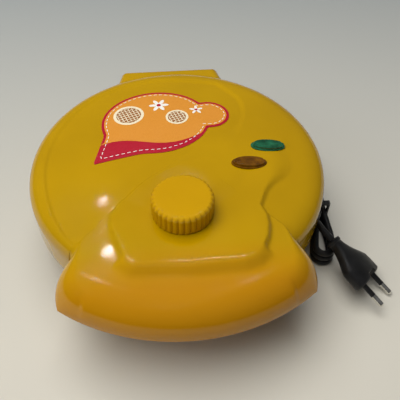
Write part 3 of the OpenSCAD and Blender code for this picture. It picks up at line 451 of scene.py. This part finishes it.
def hankPath(c):
    # Runs out and back between two folds; half the width eases from the waist to the
    # folds, each loop climbs one layer along its second run, and the whole is bent.
    u = np.arange(c["hankRings"] * (c["hankLoops"] - 1) + 4)
    loop, i = u // c["hankRings"], u % c["hankRings"]
    half, fold = c["hankHalf"], c["hankFold"]
    climb = smoothStep((i - 13) / 5)
    z = c["hankBase"] + c["hankPitch"] * (loop + climb)
    out, back = half * (1 - i / 3), half * ((i - 12) / 3 - 1)
    turnLeft, turnRight = np.radians(180 + 30 * (i - 6)), np.radians(30 * (i - 18))

    def width(s):
        ease = smoothStep(np.abs(s) / (half - 4))
        return c["hankWaist"] + (fold - c["hankWaist"]) * ease

    s = np.select([i < 7, i < 12, i < 19], [out, -half + fold * np.sin(turnLeft), back],
                  half + fold * np.sin(turnRight))
    w = np.select([i < 7, i < 12, i < 19], [-width(out), fold * np.cos(turnLeft), width(back)],
                  fold * np.cos(turnRight))
    a = s / c["hankBend"]
    x = c["hankAt"][0] - c["hankBend"] + (c["hankBend"] + w) * np.cos(a)
    y = c["hankAt"][1] + (c["hankBend"] + w) * np.sin(a)
    return np.stack([x, y, z], -1)


def makeCord(c):
    hank = hankPath(c)
    axis = plugMatrix @ [1, 0, 0]
    neck = np.array(plug["at"]) - axis * plug["length"]
    into, away = unit(hank[1] - hank[0]), unit(hank[-1] - hank[-2])
    lead = 2 * c["radius"]
    route = np.concatenate([[c["exit"]], c["fromGland"], [hank[0] - into * lead], hank,
                            [hank[-1] + away * lead], c["toPlug"], [neck - axis * lead, neck]])
    path = splinePoints(route, c["steps"])
    length = np.linalg.norm(np.diff(path, axis=0), axis=1).sum()
    grid = tubeGrid(path, c["radius"], c["sides"])
    piece = shellPiece("mainsCord", grid, "cord", "base",
                       ["power_cord", "cord_hank", "cord_tail"])
    print("cord", round(length), "mm")
    return piece, path, length


cordPiece, cordPath, cordLength = makeCord(cord)


# Plug

def makePlug(p):
    # Oval sections along X: a round neck swells in a hollow curve to the oval front, which
    # ends in a flat face with a recess between the pins.
    a = np.arange(p["sides"]) * 2 * np.pi / p["sides"]
    x, thick, wide = (np.array(p[key]) for key in ("station", "halfThick", "halfWide"))
    y = wide[None, :] * (np.sign(np.cos(a)) * np.abs(np.cos(a)) ** p["squareY"])[:, None]
    z = thick[None, :] * (np.sign(np.sin(a)) * np.abs(np.sin(a)) ** p["squareZ"])[:, None]
    front = np.broadcast_to(x[None, :], y.shape)
    inNotch = 1 - smoothStep((np.abs(y) - p["notchWide"] / 2 + 0.3) / 0.6)
    deepen = np.clip(1 - front / p["notchFrom"], 0, 1)
    front = front - inNotch * p["notchDeep"] * deepen
    body = np.stack([front, y, z], -1)
    capRows = [0.8, 0.5, 0.2, 0.02]
    cap = np.stack([np.stack([front[:, -1], y[:, -1], z[:, -1] * k], -1) for k in capRows], 1)
    grid = np.concatenate([body, cap], 1)
    nu, nv = grid.shape[:2]
    points = [grid.reshape(-1, 3)]
    faces = gridFaces(nu, nv) + poleFaces(nu, nv, 0, nu * nv, True)
    points.append(np.array([[x[0], 0, 0]]))
    half = nu // 2
    seam = [[k * nv + nv - 1, ((k + 1) % nu) * nv + nv - 1, ((nu - k - 1) % nu) * nv + nv - 1,
             ((nu - k) % nu) * nv + nv - 1] for k in range(half)]
    faces += [list(dict.fromkeys(f)) for f in seam if len(set(f)) > 2]
    first = nu * nv + 1
    for s in (-1, 1):
        profile = [(0.01, p["sleeveRoot"]), (p["sleeve"], p["sleeveRoot"]),
                   (p["sleeve"], p["sleeveLength"] - 0.2),
                   (p["sleeve"] - 0.2, p["sleeveLength"]), (0.01, p["sleeveLength"])]
        turned = lathe(profile, p["sleeveSides"])
        sleeve = np.stack([turned[..., 2], turned[..., 0] + s * p["pitch"] / 2, turned[..., 1]], -1)
        points.append(sleeve.reshape(-1, 3))
        faces += gridFaces(p["sleeveSides"], len(profile), first)
        first += p["sleeveSides"] * len(profile)
    return makePiece("mouldedPlug", atPlug(np.concatenate(points)), faces, "cord", "base",
                     ["plug_body"])


plugPiece = makePlug(plug)
print("plug", len(plugPiece.data.polygons))


# Lid

lid = {
    "bodyR": 105.5, "bottom": 34.5, "wall": 2.4, "lift": 1.2,
    "crownTop": 73.0, "crownR": 614.7, "skirtTop": 53.0, "shoulderPower": 2.5,
    "wingR": 132.5, "wingAngle": 43.7, "bulge": 26.7, "bulgeAt": 110.5, "wingEdge": 46.5,
    "frontRoll": 20.0, "rootRoll": 2.2, "tipRoll": 17.0, "wingTop": 66.5, "wingSlope": 0.085,
    "coverAngle": 41.5, "coverCorner": 18.5,
    "deckTop": 71.8, "knobY": -55.0, "knobDish": 23.0,
    "cowlHalf": 42.0, "cowlRear": 116.5, "cowlCorner": 6.0, "cowlRoof": 59.0, "cowlEdge": 52.0,
    "cowlRoll": 7.0, "cowlOpen": 41.5,
    "columns": 640, "innerRows": 74, "outerRows": 30,
}
# Ring radius at the angles from the handle, turning left round the back.
ringAngles = [-180, -160, -130, -100, -74, -65, -55.5, -48, -40]
ringRadii = [88, 90.5, 91.5, 91.5, 93, 94.7, 97, 99, 100]
sweepLine = [(-37, -42), (-30, -34), (-21, -25.5), (-11, -19), (3, -11), (15, -3.5), (27, 4),
             (37.5, 12.2), (43.3, 17.2), (49.4, 28.9), (52.8, 42.5), (51.2, 58.5), (42.6, 71.9),
             (36, 81)]
deckOutline = [(-32, -91.5), (-36.5, -87), (-39, -79), (-42, -71), (-44.5, -62), (-44.5, -54),
               (-38, -44), (-24, -42), (0, -28), (25, -18), (48, -10), (60, -12), (62, -26.5),
               (55.5, -40), (49.5, -53), (52.3, -62), (52.5, -69), (50.5, -78), (46.5, -86),
               (41, -91), (34, -93), (2, -94)]


def crownAt(r):
    return lid["crownTop"] - lid["crownR"] + np.sqrt(lid["crownR"] ** 2 - r * r)


def ringAt(turn):
    return np.interp(turn, ringAngles, ringRadii)


def panelLoop():
    # The sunk panel: its sweep line, then the ring round the back and left side, then a
    # return that the handle covers.
    turns = np.radians(np.arange(-184, -40, 4.0))
    ring = ringAt(np.degrees(turns))
    arc = np.stack([ring * np.sin(turns), -ring * np.cos(turns)], -1)
    return np.concatenate([splinePoints(sweepLine, 4), arc[1:], [(-52, -66), (-40, -52)]])


panelEdge = panelLoop()


def softMax(a, b, k):
    return (a + b + np.sqrt((a - b) ** 2 + k * k)) / 2


def softMin(a, b, k):
    return (a + b - np.sqrt((a - b) ** 2 + k * k)) / 2


def rollUp(d, radius):
    # Height share of a quarter-round edge at the distance d in from an outline.
    e = np.clip(d / radius, 0, 1)
    return np.sqrt(1 - (1 - e) ** 2)


def roundReach(turn, sideAngle, cornerR, centreR, frontR):
    # Outline radius of a fan: a front arc, and a round at each side that the side line,
    # at sideAngle, runs tangent to.
    half = math.degrees(math.asin(cornerR / centreR))
    past = np.radians(np.clip(np.abs(turn) - sideAngle + half, 0, half))
    side = centreR * np.cos(past) + np.sqrt(np.maximum(cornerR ** 2 - (centreR * np.sin(past)) ** 2, 0))
    return np.where(past > 0, np.minimum(side, frontR), frontR)


def wingReach(turn):
    return roundReach(turn, lid["wingAngle"], lid["bulge"], lid["bulgeAt"], lid["wingR"])


def wingTop(r, turn):
    # The handle's cushion: its top leans down to the front, and rolls over at the front and
    # at each bulging side; the product of both rolls leaves a soft crown and pointed tips.
    half = math.degrees(math.asin(lid["bulge"] / lid["bulgeAt"]))
    away = np.radians(lid["wingAngle"] - np.abs(turn))
    around = np.radians(np.abs(turn) - lid["wingAngle"] + half)
    line = r * np.sin(away)
    arc = lid["bulge"] - np.hypot(r * np.sin(around), r * np.cos(around) - lid["bulgeAt"])
    onLine = r * np.cos(away) < lid["bulgeAt"] * math.cos(math.radians(half))
    side = np.where(onLine, line, np.where(around > 0, arc, lid["bulge"]))
    roll = lid["rootRoll"] + (lid["tipRoll"] - lid["rootRoll"]) * smoothStep((r - 92) / 26)
    flat = lid["wingR"] - lid["frontRoll"]
    top = lid["wingTop"] + lid["wingSlope"] * np.maximum(flat - r, 0) - lid["wingEdge"]
    share = rollUp(side, roll) * rollUp(lid["wingR"] - r, lid["frontRoll"])
    return np.where((side > -0.3) & (away > -0.002) & (r > 40), lid["wingEdge"] + top * share, 0)


def cowlInset(x, y):
    # Distance in from the cowl's outline: a box with rounded corners and splayed sides.
    half = lid["cowlHalf"] + 0.24 * np.clip(lid["cowlRear"] - lid["cowlCorner"] - y, 0, 40)
    c = lid["cowlCorner"]
    dx, dy = np.abs(x) - (half - c), y - (lid["cowlRear"] - c)
    outside = np.sqrt(np.maximum(dx, 0) ** 2 + np.maximum(dy, 0) ** 2)
    return c - outside - np.minimum(np.maximum(dx, dy), 0)


def reachAt(turn):
    # The lid's outline radius at each angle from the handle: skirt, handle and cowl.
    body = lid["bodyR"]
    reach = np.where(np.abs(turn) <= lid["wingAngle"], wingReach(turn), body)
    rear = np.radians(180 - np.abs(turn))
    for _ in range(40):
        inset = cowlInset(reach * np.sin(rear), reach * np.cos(rear))
        reach = np.where((rear < 0.6) & ((inset > 0) | (reach > body)),
                         np.maximum(reach + 0.7 * inset, body), reach)
    return reach


def lidTop(x, y):
    # Height of the lid's outside: a crown with a sunk panel and a rounded shoulder, the
    # rolled handle, the flat deck under the knob and the hinge cowl, blended softly.
    r = np.hypot(x, y)
    turn = np.degrees(np.arctan2(x, -y))
    body = lid["bodyR"]
    panel = distanceTo(x, y, panelEdge)
    fade = np.exp(-((x - 25) ** 2 + (y - 3) ** 2) / (2 * 12.0 ** 2))
    width = 3.0 + 26 * fade + 1.6 * smoothStep((y + 10) / 30)
    lower = 1.2 * np.exp(-((x - 80) ** 2 + (y + 45) ** 2) / (2 * 20.0 ** 2))
    lift = lid["lift"] * smoothStep(0.5 + panel / width) - lower
    ring = np.where(turn < 0, ringAt(turn) - 2.5, 87.0)
    t = np.clip((r - ring) / (body - ring), 0, 1)
    p = lid["shoulderPower"]
    fall = crownAt(body) + lid["lift"] - lid["skirtTop"]
    z = crownAt(np.minimum(r, body)) + lift - fall * (1 - (1 - t ** p) ** (1 / p))
    z = z - 40 * np.clip(r - body, 0, 0.4)

    wing = wingTop(r, turn)
    z = np.where(wing > 0, softMax(z, wing, 0.6), z)

    deck = distanceTo(x, y, np.array(deckOutline, float))
    bevel = 3.2 + 6.0 * smoothStep((-y - 84) / 8) + 16 * smoothStep((y + 42) / 26)
    share = 1 - smoothStep(deck / bevel)
    z = z + np.maximum(lid["deckTop"] - z, 0) * share
    fromKnob = np.hypot(x, y - lid["knobY"])
    dish = lid["deckTop"] + 0.3 + 0.11 * np.maximum(fromKnob - lid["knobDish"], 0)
    z = softMin(z, dish, 0.25)

    roof = lid["cowlRoof"] + 0.06 * (lid["cowlRear"] - y)
    cowl = lid["cowlEdge"] + (roof - lid["cowlEdge"]) * rollUp(cowlInset(x, y), lid["cowlRoll"])
    z = np.where((y > 70) & (np.abs(x) < 52) & (cowlInset(x, y) > -0.3), softMax(z, cowl, 1.2), z)
    return z


def lidColumns(count):
    # Angles from the handle, closer together at the handle's sides and the cowl's ends, with
    # a column at each side of every corner of the outline.
    fine = np.linspace(-180, 180, 7201)
    near = 1 + 2.6 * np.exp(-((np.abs(fine) - 43.2) / 1.6) ** 2)
    near += 1.0 * np.exp(-((np.abs(fine) - 38.5) / 4) ** 2)
    near += 1.5 * np.exp(-((180 - np.abs(fine) - 21) / 3.5) ** 2)
    total = np.cumsum(near)
    even = np.interp(np.arange(count) / count * total[-1], total, fine)
    edge, tip = lid["wingAngle"], 36.87
    return np.unique(np.concatenate([even] + [[s * edge, s * (edge + 0.01), s * tip] for s in (-1, 1)]))


def makeLid():
    # Columns at each angle: over the top to the edge, down the skirt, under and back in.
    turn = lidColumns(lid["columns"])
    reach = reachAt(turn)
    start = 86 + 17 * smoothStep((50 - np.abs(turn)) / 12)
    u = (np.arange(lid["innerRows"]) + 1) / lid["innerRows"]
    a = (np.arange(lid["outerRows"]) + 1) / lid["outerRows"] * np.pi / 2
    inner = start[:, None] * u[None, :]
    outer = start[:, None] + (reach - start)[:, None] * np.sin(a)[None, :]
    r = np.concatenate([inner, outer], 1)
    s, c = np.sin(np.radians(turn))[:, None], -np.cos(np.radians(turn))[:, None]
    top = lidTop(r * s, r * c)

    body, wall = lid["bodyR"], lid["wall"]
    isWing = (np.abs(turn) <= lid["wingAngle"])[:, None]
    isCowl = np.clip((reach - body) / 3, 0, 1)[:, None] * (np.abs(turn) > 90)[:, None]
    edge = top[:, -1:]
    R = reach[:, None]
    cover = roundReach(turn, lid["coverAngle"] - 1.2, lid["coverCorner"] - 2.4,
                       lid["wingR"] - lid["coverCorner"], lid["wingR"] - 2.4)[:, None]
    cover = np.where(np.abs(turn)[:, None] > lid["coverAngle"] - 1.2, body, cover)
    lip = np.maximum(np.minimum(R - 2.2, cover), body)
    k = (np.arange(9) + 1)[None, :] / 9
    under = np.array([0, 0.08, 0.9, 1, 1, 1.03, 1, 1, 1])[None, :]
    inward = np.array([0, 0, 0, 0, 0, 0, 0.4, 0.8, 1])[None, :]
    lipUp = np.array([46.45, 46.3, 46.3, 46.6, 49.2, 49.5, 49.5, 49.5, 49.0])[None, :]
    wingIn = R + (lip - R) * np.minimum(under, 1)
    wingIn = wingIn + (body - wingIn) * inward
    r1 = np.where(isWing, wingIn, R)
    downTo = 48.5
    z1 = np.where(isWing, lipUp, edge + (downTo - edge) * k)
    skirt = body + (R - body) * isCowl
    low = np.where(isCowl > 0, lid["bottom"] + (lid["cowlOpen"] - lid["bottom"])
                   * smoothStep((lid["cowlHalf"] - 3 - np.abs(R * s)) / 2.5), lid["bottom"])
    steps = [(0, 0.1), (0, 0.35), (0, 0.65), (0, 0.93), (0.25, 0.985), (0.8, 1.0), (1.7, 1.0),
             (wall - 0.2, 0.985), (wall, 0.93)]
    r2 = np.concatenate([skirt - d for d, _ in steps], 1)
    z2 = np.concatenate([downTo + (low - downTo) * f for _, f in steps], 1)
    inside = skirt - wall
    b = np.linspace(0, 1, 18)[None, 1:-1]
    ri = inside * np.cos(b * np.pi / 2)
    t = np.clip((ri - 84) / (body - wall - 84), 0, 1)
    zi = crownAt(np.minimum(ri, body)) - 2.7 - 10.5 * (1 - (1 - t ** 2.5) ** 0.4)
    roofIn = lid["cowlRoof"] - wall - 0.4 + 0 * zi
    zi = np.where((isCowl > 0) & (ri > 96), np.maximum(zi, np.where(isCowl > 0.2, roofIn, zi)), zi)
    r3 = np.concatenate([inside, inside, ri], 1)
    z3 = np.concatenate([downTo + 0 * inside, np.minimum(downTo + 2.5, zi[:, :1]), zi], 1)
    radius = np.concatenate([r, r1, r2, r3], 1)
    height = np.concatenate([top, z1, z2, z3], 1)
    return shellPiece("lidShell", np.stack([radius * s, radius * c, height], -1), "housing", "lid",
                      ["upper_housing"], 32)


lidPiece = makeLid()


knuckle = {"pinY": 107.0, "pinZ": 41.0, "eye": 5.5, "bore": 2.05, "web": 3.4, "roof": 57.5, "wide": 12,
           "from": -218, "to": 38, "steps": 48, "soften": 0.985, "edge": 0.3,
           "starts": {"leftKnuckle": -25.5, "rightKnuckle": 13.5}}


def makeKnuckle(k, name, x0):
    # A ring eye round the hinge pin with a web up to the cowl's roof, carried along X.
    def arc(radius, count):
        a = np.radians(np.linspace(k["from"], k["to"], count))
        return np.stack([k["pinY"] + radius * np.cos(a), k["pinZ"] + radius * np.sin(a)], -1)

    corners = [(k["pinY"] + k["web"], k["roof"]), (k["pinY"] - k["web"], k["roof"])]
    outline = np.concatenate([arc(k["eye"], k["steps"]), corners])
    hole = arc(k["bore"], len(outline))
    soft = (outline - outline.mean(0)) * k["soften"] + outline.mean(0)
    x1 = x0 + k["wide"]
    rings = [(hole, x0), (soft, x0), (outline, x0 + k["edge"]), (outline, x1 - k["edge"]), (soft, x1),
             (hole, x1), (hole, x0)]
    grid = np.stack([np.column_stack([np.full(len(o), x), o]) for o, x in rings], 1)
    return makePiece(name, toFrame(grid.reshape(-1, 3)), gridFaces(len(outline), len(rings)), "housing",
                     "lid")


for name, x0 in knuckle["starts"].items():
    makeKnuckle(knuckle, name, x0)
print("lid", len(lidPiece.data.polygons))


# Knob

knob = {"r": 20.0, "y": -55.0, "z": 72.4, "height": 13.6, "bend": 3.2, "flutes": 32, "deep": 0.8,
        "stepsPerFlute": 12}


def makeKnob(k):
    # A turned cap whose side is pressed in by flutes that die out over its round shoulder.
    r, h, bend = k["r"], k["height"], k["bend"]
    arc = np.radians(np.linspace(0, 88, 12))
    profile = np.concatenate([
        [(0.01, 1.6), (8, 1.6), (r - 3.2, 1.6), (r - 2.4, 0.2), (r - 1.9, 0.0), (r - 0.4, 0.0), (r, 0.4),
         (r, 2.5), (r, 5), (r, 7.5)],
        np.stack([r - bend + bend * np.cos(arc), h - bend + bend * np.sin(arc)], -1),
        [(r - 6, h), (r - 10, h), (6, h), (2, h), (0.01, h)]])
    count = k["flutes"] * k["stepsPerFlute"]
    a = np.arange(count) * 2 * np.pi / count
    side = np.interp(profile[:, 0], [r - 5.5, r - 2.2, r], [0, 0.75, 1]) * (profile[:, 1] > 0.3)
    ridge = np.abs(np.sin(a * k["flutes"] / 2)) ** 0.8
    wobble = -k["deep"] * (1 - ridge)[:, None] * side[None, :]
    grid = lathe(profile, count, (0, k["y"], k["z"]), wobble)
    return shellPiece("flutedKnob", grid, "knob", "control", ["knob"])


knobPiece = makeKnob(knob)
print("knob", len(knobPiece.data.polygons))


# Lamp lenses

lens = {
    "length": 25.0, "width": 11.4, "count": 96,
    "inset": [3, 1.4, 1.4, 0, 0, 0.25, 0.95, 1.05, 1.1, 1.25, 1.6, 2.0, 2.6, 3.3, 4.0, 4.7, 5.2],
    "level": [-4.0, -4.0, 0.0, 0.0, 0.8, 1.05, 1.1, 1.2, 2.2, 2.5, 2.7, 2.75, 2.5, 2.3, 2.55, 2.3, 2.2],
    "notchDeep": 0.7, "notchAt": 10.2, "notchWide": 0.5,
    "green": (64.5, 0.5), "amber": (48.5, -16.5),
}


def onCrown(points, at):
    # From a frame standing on the raised crown at that place, tilted square to it.
    r = math.hypot(*at)
    tilt = math.asin(r / lid["crownR"])
    axis = np.array([-at[1], at[0], 0]) / r
    cross = np.array([[0, -axis[2], axis[1]], [axis[2], 0, -axis[0]], [-axis[1], axis[0], 0]])
    turned = np.eye(3) + math.sin(tilt) * cross + (1 - math.cos(tilt)) * cross @ cross
    return toFrame(points @ turned.T + [at[0], at[1], crownAt(r) + lid["lift"]])


def makeLens(name, at, finish, replaced):
    # Oval rings from the stem up: a low foot, a bevelled upper oval notched near its ends,
    # and inside it a ridge round a shallow dish.
    k = lens
    a = np.arange(k["count"]) * 2 * np.pi / k["count"]
    inset, level = np.array(k["inset"]), np.array(k["level"])
    x = (k["length"] / 2 - inset)[None, :] * np.cos(a)[:, None]
    y = (k["width"] / 2 - inset)[None, :] * np.sin(a)[:, None]
    onRim = (inset > 0.9) & (inset < 1.7) & (level > 0.5)
    notch = k["notchDeep"] * np.exp(-((np.abs(x) - k["notchAt"]) / k["notchWide"]) ** 2) * onRim
    z = level[None, :] - notch
    return shellPiece(name, np.stack([x, y, z], -1), finish, "lid",
                      [replaced], 25, lambda p: onCrown(p, at))


makeLens("greenLamp", lens["green"], "green", "green_lens")
makeLens("amberLamp", lens["amber"], "amber", "amber_lens")
print("lenses done")


# Label: a leaf of printed film that follows the crown

label = {
    "at": (-14, 34), "length": 80, "width": 72, "lobeAt": 6, "lobeFar": 40, "lobeR": 15.5,
    "tipAt": 223, "tipFar": 61, "tipHalf": 33, "tipReach": 1.2, "blend": 1.6,
    "film": 0.3, "gap": 0.05, "ink": 0.06, "border": 2.0, "bandTop": -22, "bandWave": 6,
    "stitchIn": 1.6, "stitch": 2.4, "stitchGap": 1.7, "stitchWide": 0.5,
    # Wafers: centre, rim and radius. Flowers: centre, petals, first angle, reach, petal, heart.
    "wafers": [(-20, 8, 11.5, 9.3), (16, 2, 8.5, 6.8)], "ridge": 2.6, "ridgeWide": 0.55,
    "flowers": [((3, 18), 6, 0, 4.2, (3.4, 1.5), 1.7), ((31, 10), 5, 20, 2.9, (2.3, 1.0), 1.2)],
}


def leafOutline(inset, count=240):
    # A leaf about its middle: an oval, a round lobe beside it and a tip drawn out to a point.
    a = np.radians(np.arange(count) * 360 / count)
    k = label
    long, wide = k["length"] / 2 - inset, k["width"] / 2 - inset
    oval = 1 / np.hypot(np.cos(a) / long, np.sin(a) / wide)
    off, far, ball = a - math.radians(k["lobeAt"]), k["lobeFar"], k["lobeR"] - inset
    inLobe = ball ** 2 - (far * np.sin(off)) ** 2
    lobe = np.where((inLobe > 0) & (np.cos(off) > 0), far * np.cos(off) + np.sqrt(np.maximum(inLobe, 0)), 0)
    past = np.abs((a - math.radians(k["tipAt"]) + np.pi) % (2 * np.pi) - np.pi)
    half = math.radians(k["tipHalf"])
    side = k["tipFar"] * math.sin(half) - inset
    tip = np.where(past < k["tipReach"], side / np.sin(past + half), 0)
    r = softMax(softMax(oval, lobe, k["blend"]), tip, k["blend"])
    return np.stack([r * np.cos(a), r * np.sin(a)], -1)


def printSheet(name, outlines, level, thick, finish, replaced=()):
    # Each outline, about the label's middle, becomes a thin sheet that follows the crown:
    # rings shrink from the outline to its own middle.
    points, faces, first = [], [], 0
    share = np.array([1, 1, 0.85, 0.6, 0.3])
    for outline in outlines:
        middle = outline.mean(0)
        flat = middle + (outline - middle)[:, None, :] * share[None, :, None]
        at = np.concatenate([flat.reshape(-1, 2), [middle]]) + label["at"]
        lift = np.concatenate([np.tile([level, level + thick] + [level + thick] * 3, len(outline)),
                               [level + thick]])
        z = crownAt(np.hypot(at[:, 0], at[:, 1])) + lift
        points.append(np.column_stack([at, z]))
        nu, nv = len(outline), len(share)
        faces += gridFaces(nu, nv, first)
        faces += [[q + first for q in f] for f in poleFaces(nu, nv, nv - 1, nu * nv, False)]
        first += nu * nv + 1
    return makePiece(name, toFrame(np.concatenate(points)), faces, finish, "lid", replaced, 30)


def disc(cx, cy, rx, ry=None, turn=0, count=40):
    a = np.arange(count) * 2 * np.pi / count
    x, y = rx * np.cos(a), (ry or rx) * np.sin(a)
    c, s = math.cos(math.radians(turn)), math.sin(math.radians(turn))
    return np.stack([cx + x * c - y * s, cy + x * s + y * c], -1)


def bar(cx, cy, length, width, turn):
    c, s = math.cos(math.radians(turn)), math.sin(math.radians(turn))
    corner = np.array([(-1, -1), (1, -1), (1, 1), (-1, 1)]) * [length / 2, width / 2]
    return corner @ [[c, s], [-s, c]] + [cx, cy]


def dashes(outline, length, gap, width):
    # Bars along a closed outline, evenly spaced.
    path = np.concatenate([outline, outline[:1]])
    run = np.concatenate([[0], np.cumsum(np.linalg.norm(np.diff(path, axis=0), axis=1))])
    count = int(run[-1] / (length + gap))
    at = (np.arange(count) + 0.5) * run[-1] / count
    x, y = np.interp(at, run, path[:, 0]), np.interp(at, run, path[:, 1])
    dx = np.interp(at + 0.5, run, path[:, 0]) - x
    dy = np.interp(at + 0.5, run, path[:, 1]) - y
    return [bar(px, py, length, width, math.degrees(math.atan2(qy, qx)))
            for px, py, qx, qy in zip(x, y, dx, dy)]


def makeLabel():
    k, ink = label, label["ink"]
    top = k["gap"] + k["film"]
    printSheet("labelFilm", [leafOutline(0)], k["gap"], k["film"], "labelRed", ["label_plate"])
    field = leafOutline(k["border"])
    x = field[:, 0]
    low = k["bandTop"] - k["bandWave"] * np.sin(np.radians(x * 4 + 40)) + 0.16 * x
    field = np.column_stack([x, np.maximum(field[:, 1], low)])
    printSheet("labelField", [field], top, ink, "labelOrange")
    stitches = dashes(leafOutline(k["border"] + k["stitchIn"]), k["stitch"], k["stitchGap"], k["stitchWide"])
    printSheet("labelStitches", stitches, top + ink, ink, "labelWhite")
    printSheet("labelPlates", [disc(x, y, rim) for x, y, rim, _ in k["wafers"]], top + ink, ink,
               "labelCream")
    printSheet("labelWafers", [disc(x, y, r) for x, y, _, r in k["wafers"]], top + 2 * ink, ink,
               "labelBrown")
    lines = [bar(x + d * math.cos(math.radians(t + 90)), y + d * math.sin(math.radians(t + 90)),
                 2 * math.sqrt(r * r - d * d) * 0.92, k["ridgeWide"], t)
             for x, y, _, r in k["wafers"] for t in (20, 110)
             for d in np.arange(-r + 1.9, r - 1, k["ridge"])]
    printSheet("labelGrid", lines, top + 3 * ink, ink, "labelCream")
    petals = []
    for (x, y), count, first, reach, size, _ in k["flowers"]:
        for t in first + np.arange(count) * 360 / count:
            a = math.radians(t)
            petals.append(disc(x + reach * math.cos(a), y + reach * math.sin(a), *size, t))
    printSheet("labelPetals", petals, top + ink, ink, "labelWhite")
    hearts = [disc(*centre, heart) for centre, _, _, _, _, heart in k["flowers"]]
    printSheet("labelHearts", hearts, top + 2 * ink, ink, "labelRed")


makeLabel()
print("label done")


# Light, floor and background

# The near and far table colours are painted shade, pale in front and darker at the back.
table = {"half": 6.0, "near": "#CFCBC0", "far": "#989D9E", "from": -0.1, "to": 0.4}
# Each lamp: name, location, target, size in metres, watts, tint, seen in reflections.
lamps = [
    ("ceiling", (-0.45, 0.15, 1.8), (0, 0, 0), (2.0, 1.6), 37, "#FFFDF8", False),
    ("leftWindow", (-1.6, -0.5, 1.1), (-0.1, 0, 0), (0.8, 0.8), 7, "#FFFFFF", False),
]
# Ceiling tubes draw the gloss's bright lines: place X, place Y, length.
tubes = [(-0.24, 0.6, 0.2), (0.03, 0.66, 0.07), (0.22, 0.58, 0.26), (-0.42, 0.82, 0.05)]
for x, y, length in tubes:
    lamps.append(("tube", (x, y, 1.3), (0, -0.1, 0.06), (length, 0.007), 3 * length, "#FFFFFF", True))


def makeFloor(k):
    # A matt table top whose colour holds painted shade: warm and pale in front, cooler and darker further
    # back, where less light falls.
    material, tree, shader, place = startMaterial("tableWithPaintedShade", Roughness=0.6)
    spread = addNode(tree, "ShaderNodeSeparateXYZ", {"Vector": (place, "Object")})
    share = addNode(tree, "ShaderNodeMapRange", {"Value": (spread, "Y")},
                    {"From Min": k["from"], "From Max": k["to"]})
    ramp = addNode(tree, "ShaderNodeValToRGB", {"Fac": (share, "Result")})
    ramp.color_ramp.elements[0].color = colour(k["near"])
    ramp.color_ramp.elements[1].color = colour(k["far"])
    tree.links.new(ramp.outputs["Color"], shader.inputs["Base Color"])
    mesh = bpy.data.meshes.new("table")
    half = k["half"]
    mesh.from_pydata([(-half, -half, 0), (half, -half, 0), (half, half, 0), (-half, half, 0)], [],
                     [(0, 1, 2, 3)])
    mesh.materials.append(material)
    piece = bpy.data.objects.new("table", mesh)
    bpy.context.scene.collection.objects.link(piece)


def makeLight(name, location, target, size, watts, tint, mirrored):
    data = bpy.data.lights.new(name, "AREA")
    data.shape = "RECTANGLE"
    data.size, data.size_y = size
    data.energy = watts
    data.color = colour(tint)[:3]
    lamp = bpy.data.objects.new(name, data)
    lamp.location = location
    aim = mathutils.Vector(target) - mathutils.Vector(location)
    lamp.rotation_mode = "QUATERNION"
    lamp.rotation_quaternion = aim.to_track_quat("-Z", "Y")
    lamp.visible_glossy = mirrored
    bpy.context.scene.collection.objects.link(lamp)


def makeWorld():
    # A grey studio that is lighter overhead than near the floor; the camera itself sees a
    # plain pale wall past the table.
    world = bpy.data.worlds.new("studio")
    bpy.context.scene.world = world
    world.use_nodes = True
    tree = world.node_tree
    background = tree.nodes["Background"]
    background.inputs["Strength"].default_value = 0.17
    place = addNode(tree, "ShaderNodeTexCoord")
    split = addNode(tree, "ShaderNodeSeparateXYZ", {"Vector": (place, "Generated")})
    ramp = addNode(tree, "ShaderNodeValToRGB", {"Fac": (split, "Z")})
    ramp.color_ramp.elements[0].color = colour("#9A9A98")
    ramp.color_ramp.elements[1].color = colour("#E8EAEC")
    tree.links.new(ramp.outputs["Color"], background.inputs["Color"])
    wall = addNode(tree, "ShaderNodeBackground", None, {"Color": colour("#A9AEAF"), "Strength": 1.0})
    rays = addNode(tree, "ShaderNodeLightPath")
    mix = addNode(tree, "ShaderNodeMixShader", {0: (rays, "Is Camera Ray"), 1: (background, "Background"),
                                                2: (wall, "Background")})
    tree.links.new(mix.outputs["Shader"], tree.nodes["World Output"].inputs["Surface"])


makeFloor(table)
makeWorld()
for lamp in lamps:
    makeLight(*lamp)
print("lights", len(lamps))


# Finishes of the CAD nodes that stay

finishOf = {
    "lower_housing": "housing", "handle_cover": "housing", "rubber_feet": "rubber",
    "lower_baking_plate": "plate", "upper_baking_plate": "plate", "lower_plate_screws": "steel",
    "upper_plate_screws": "steel", "handle_screws": "steel", "lower_element": "steel",
    "upper_element": "steel", "hinge_pin": "steel", "pin_nuts": "steel", "thermostat_shaft": "steel",
    "thermostat_bracket": "steel", "lower_reflector": "sheet", "upper_reflector": "sheet",
    "terminal_block": "ceramic", "thermostat": "ceramic", "lamp_holder": "ceramic",
    "thermal_fuse": "ceramic", "lower_leads": "lead", "upper_leads": "lead", "cord_gland": "cord",
    "cord_tie": "rubber", "plug_pins": "pins", "green_lens": "green", "amber_lens": "amber",
    "neon_lamps": "glass", "label_plate": "labelOrange",
}
for name, finish in finishOf.items():
    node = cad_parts[name]
    node.data.materials.clear()
    node.data.materials.append(finishes[finish])

bpy.context.scene.view_settings.view_transform = "Standard"
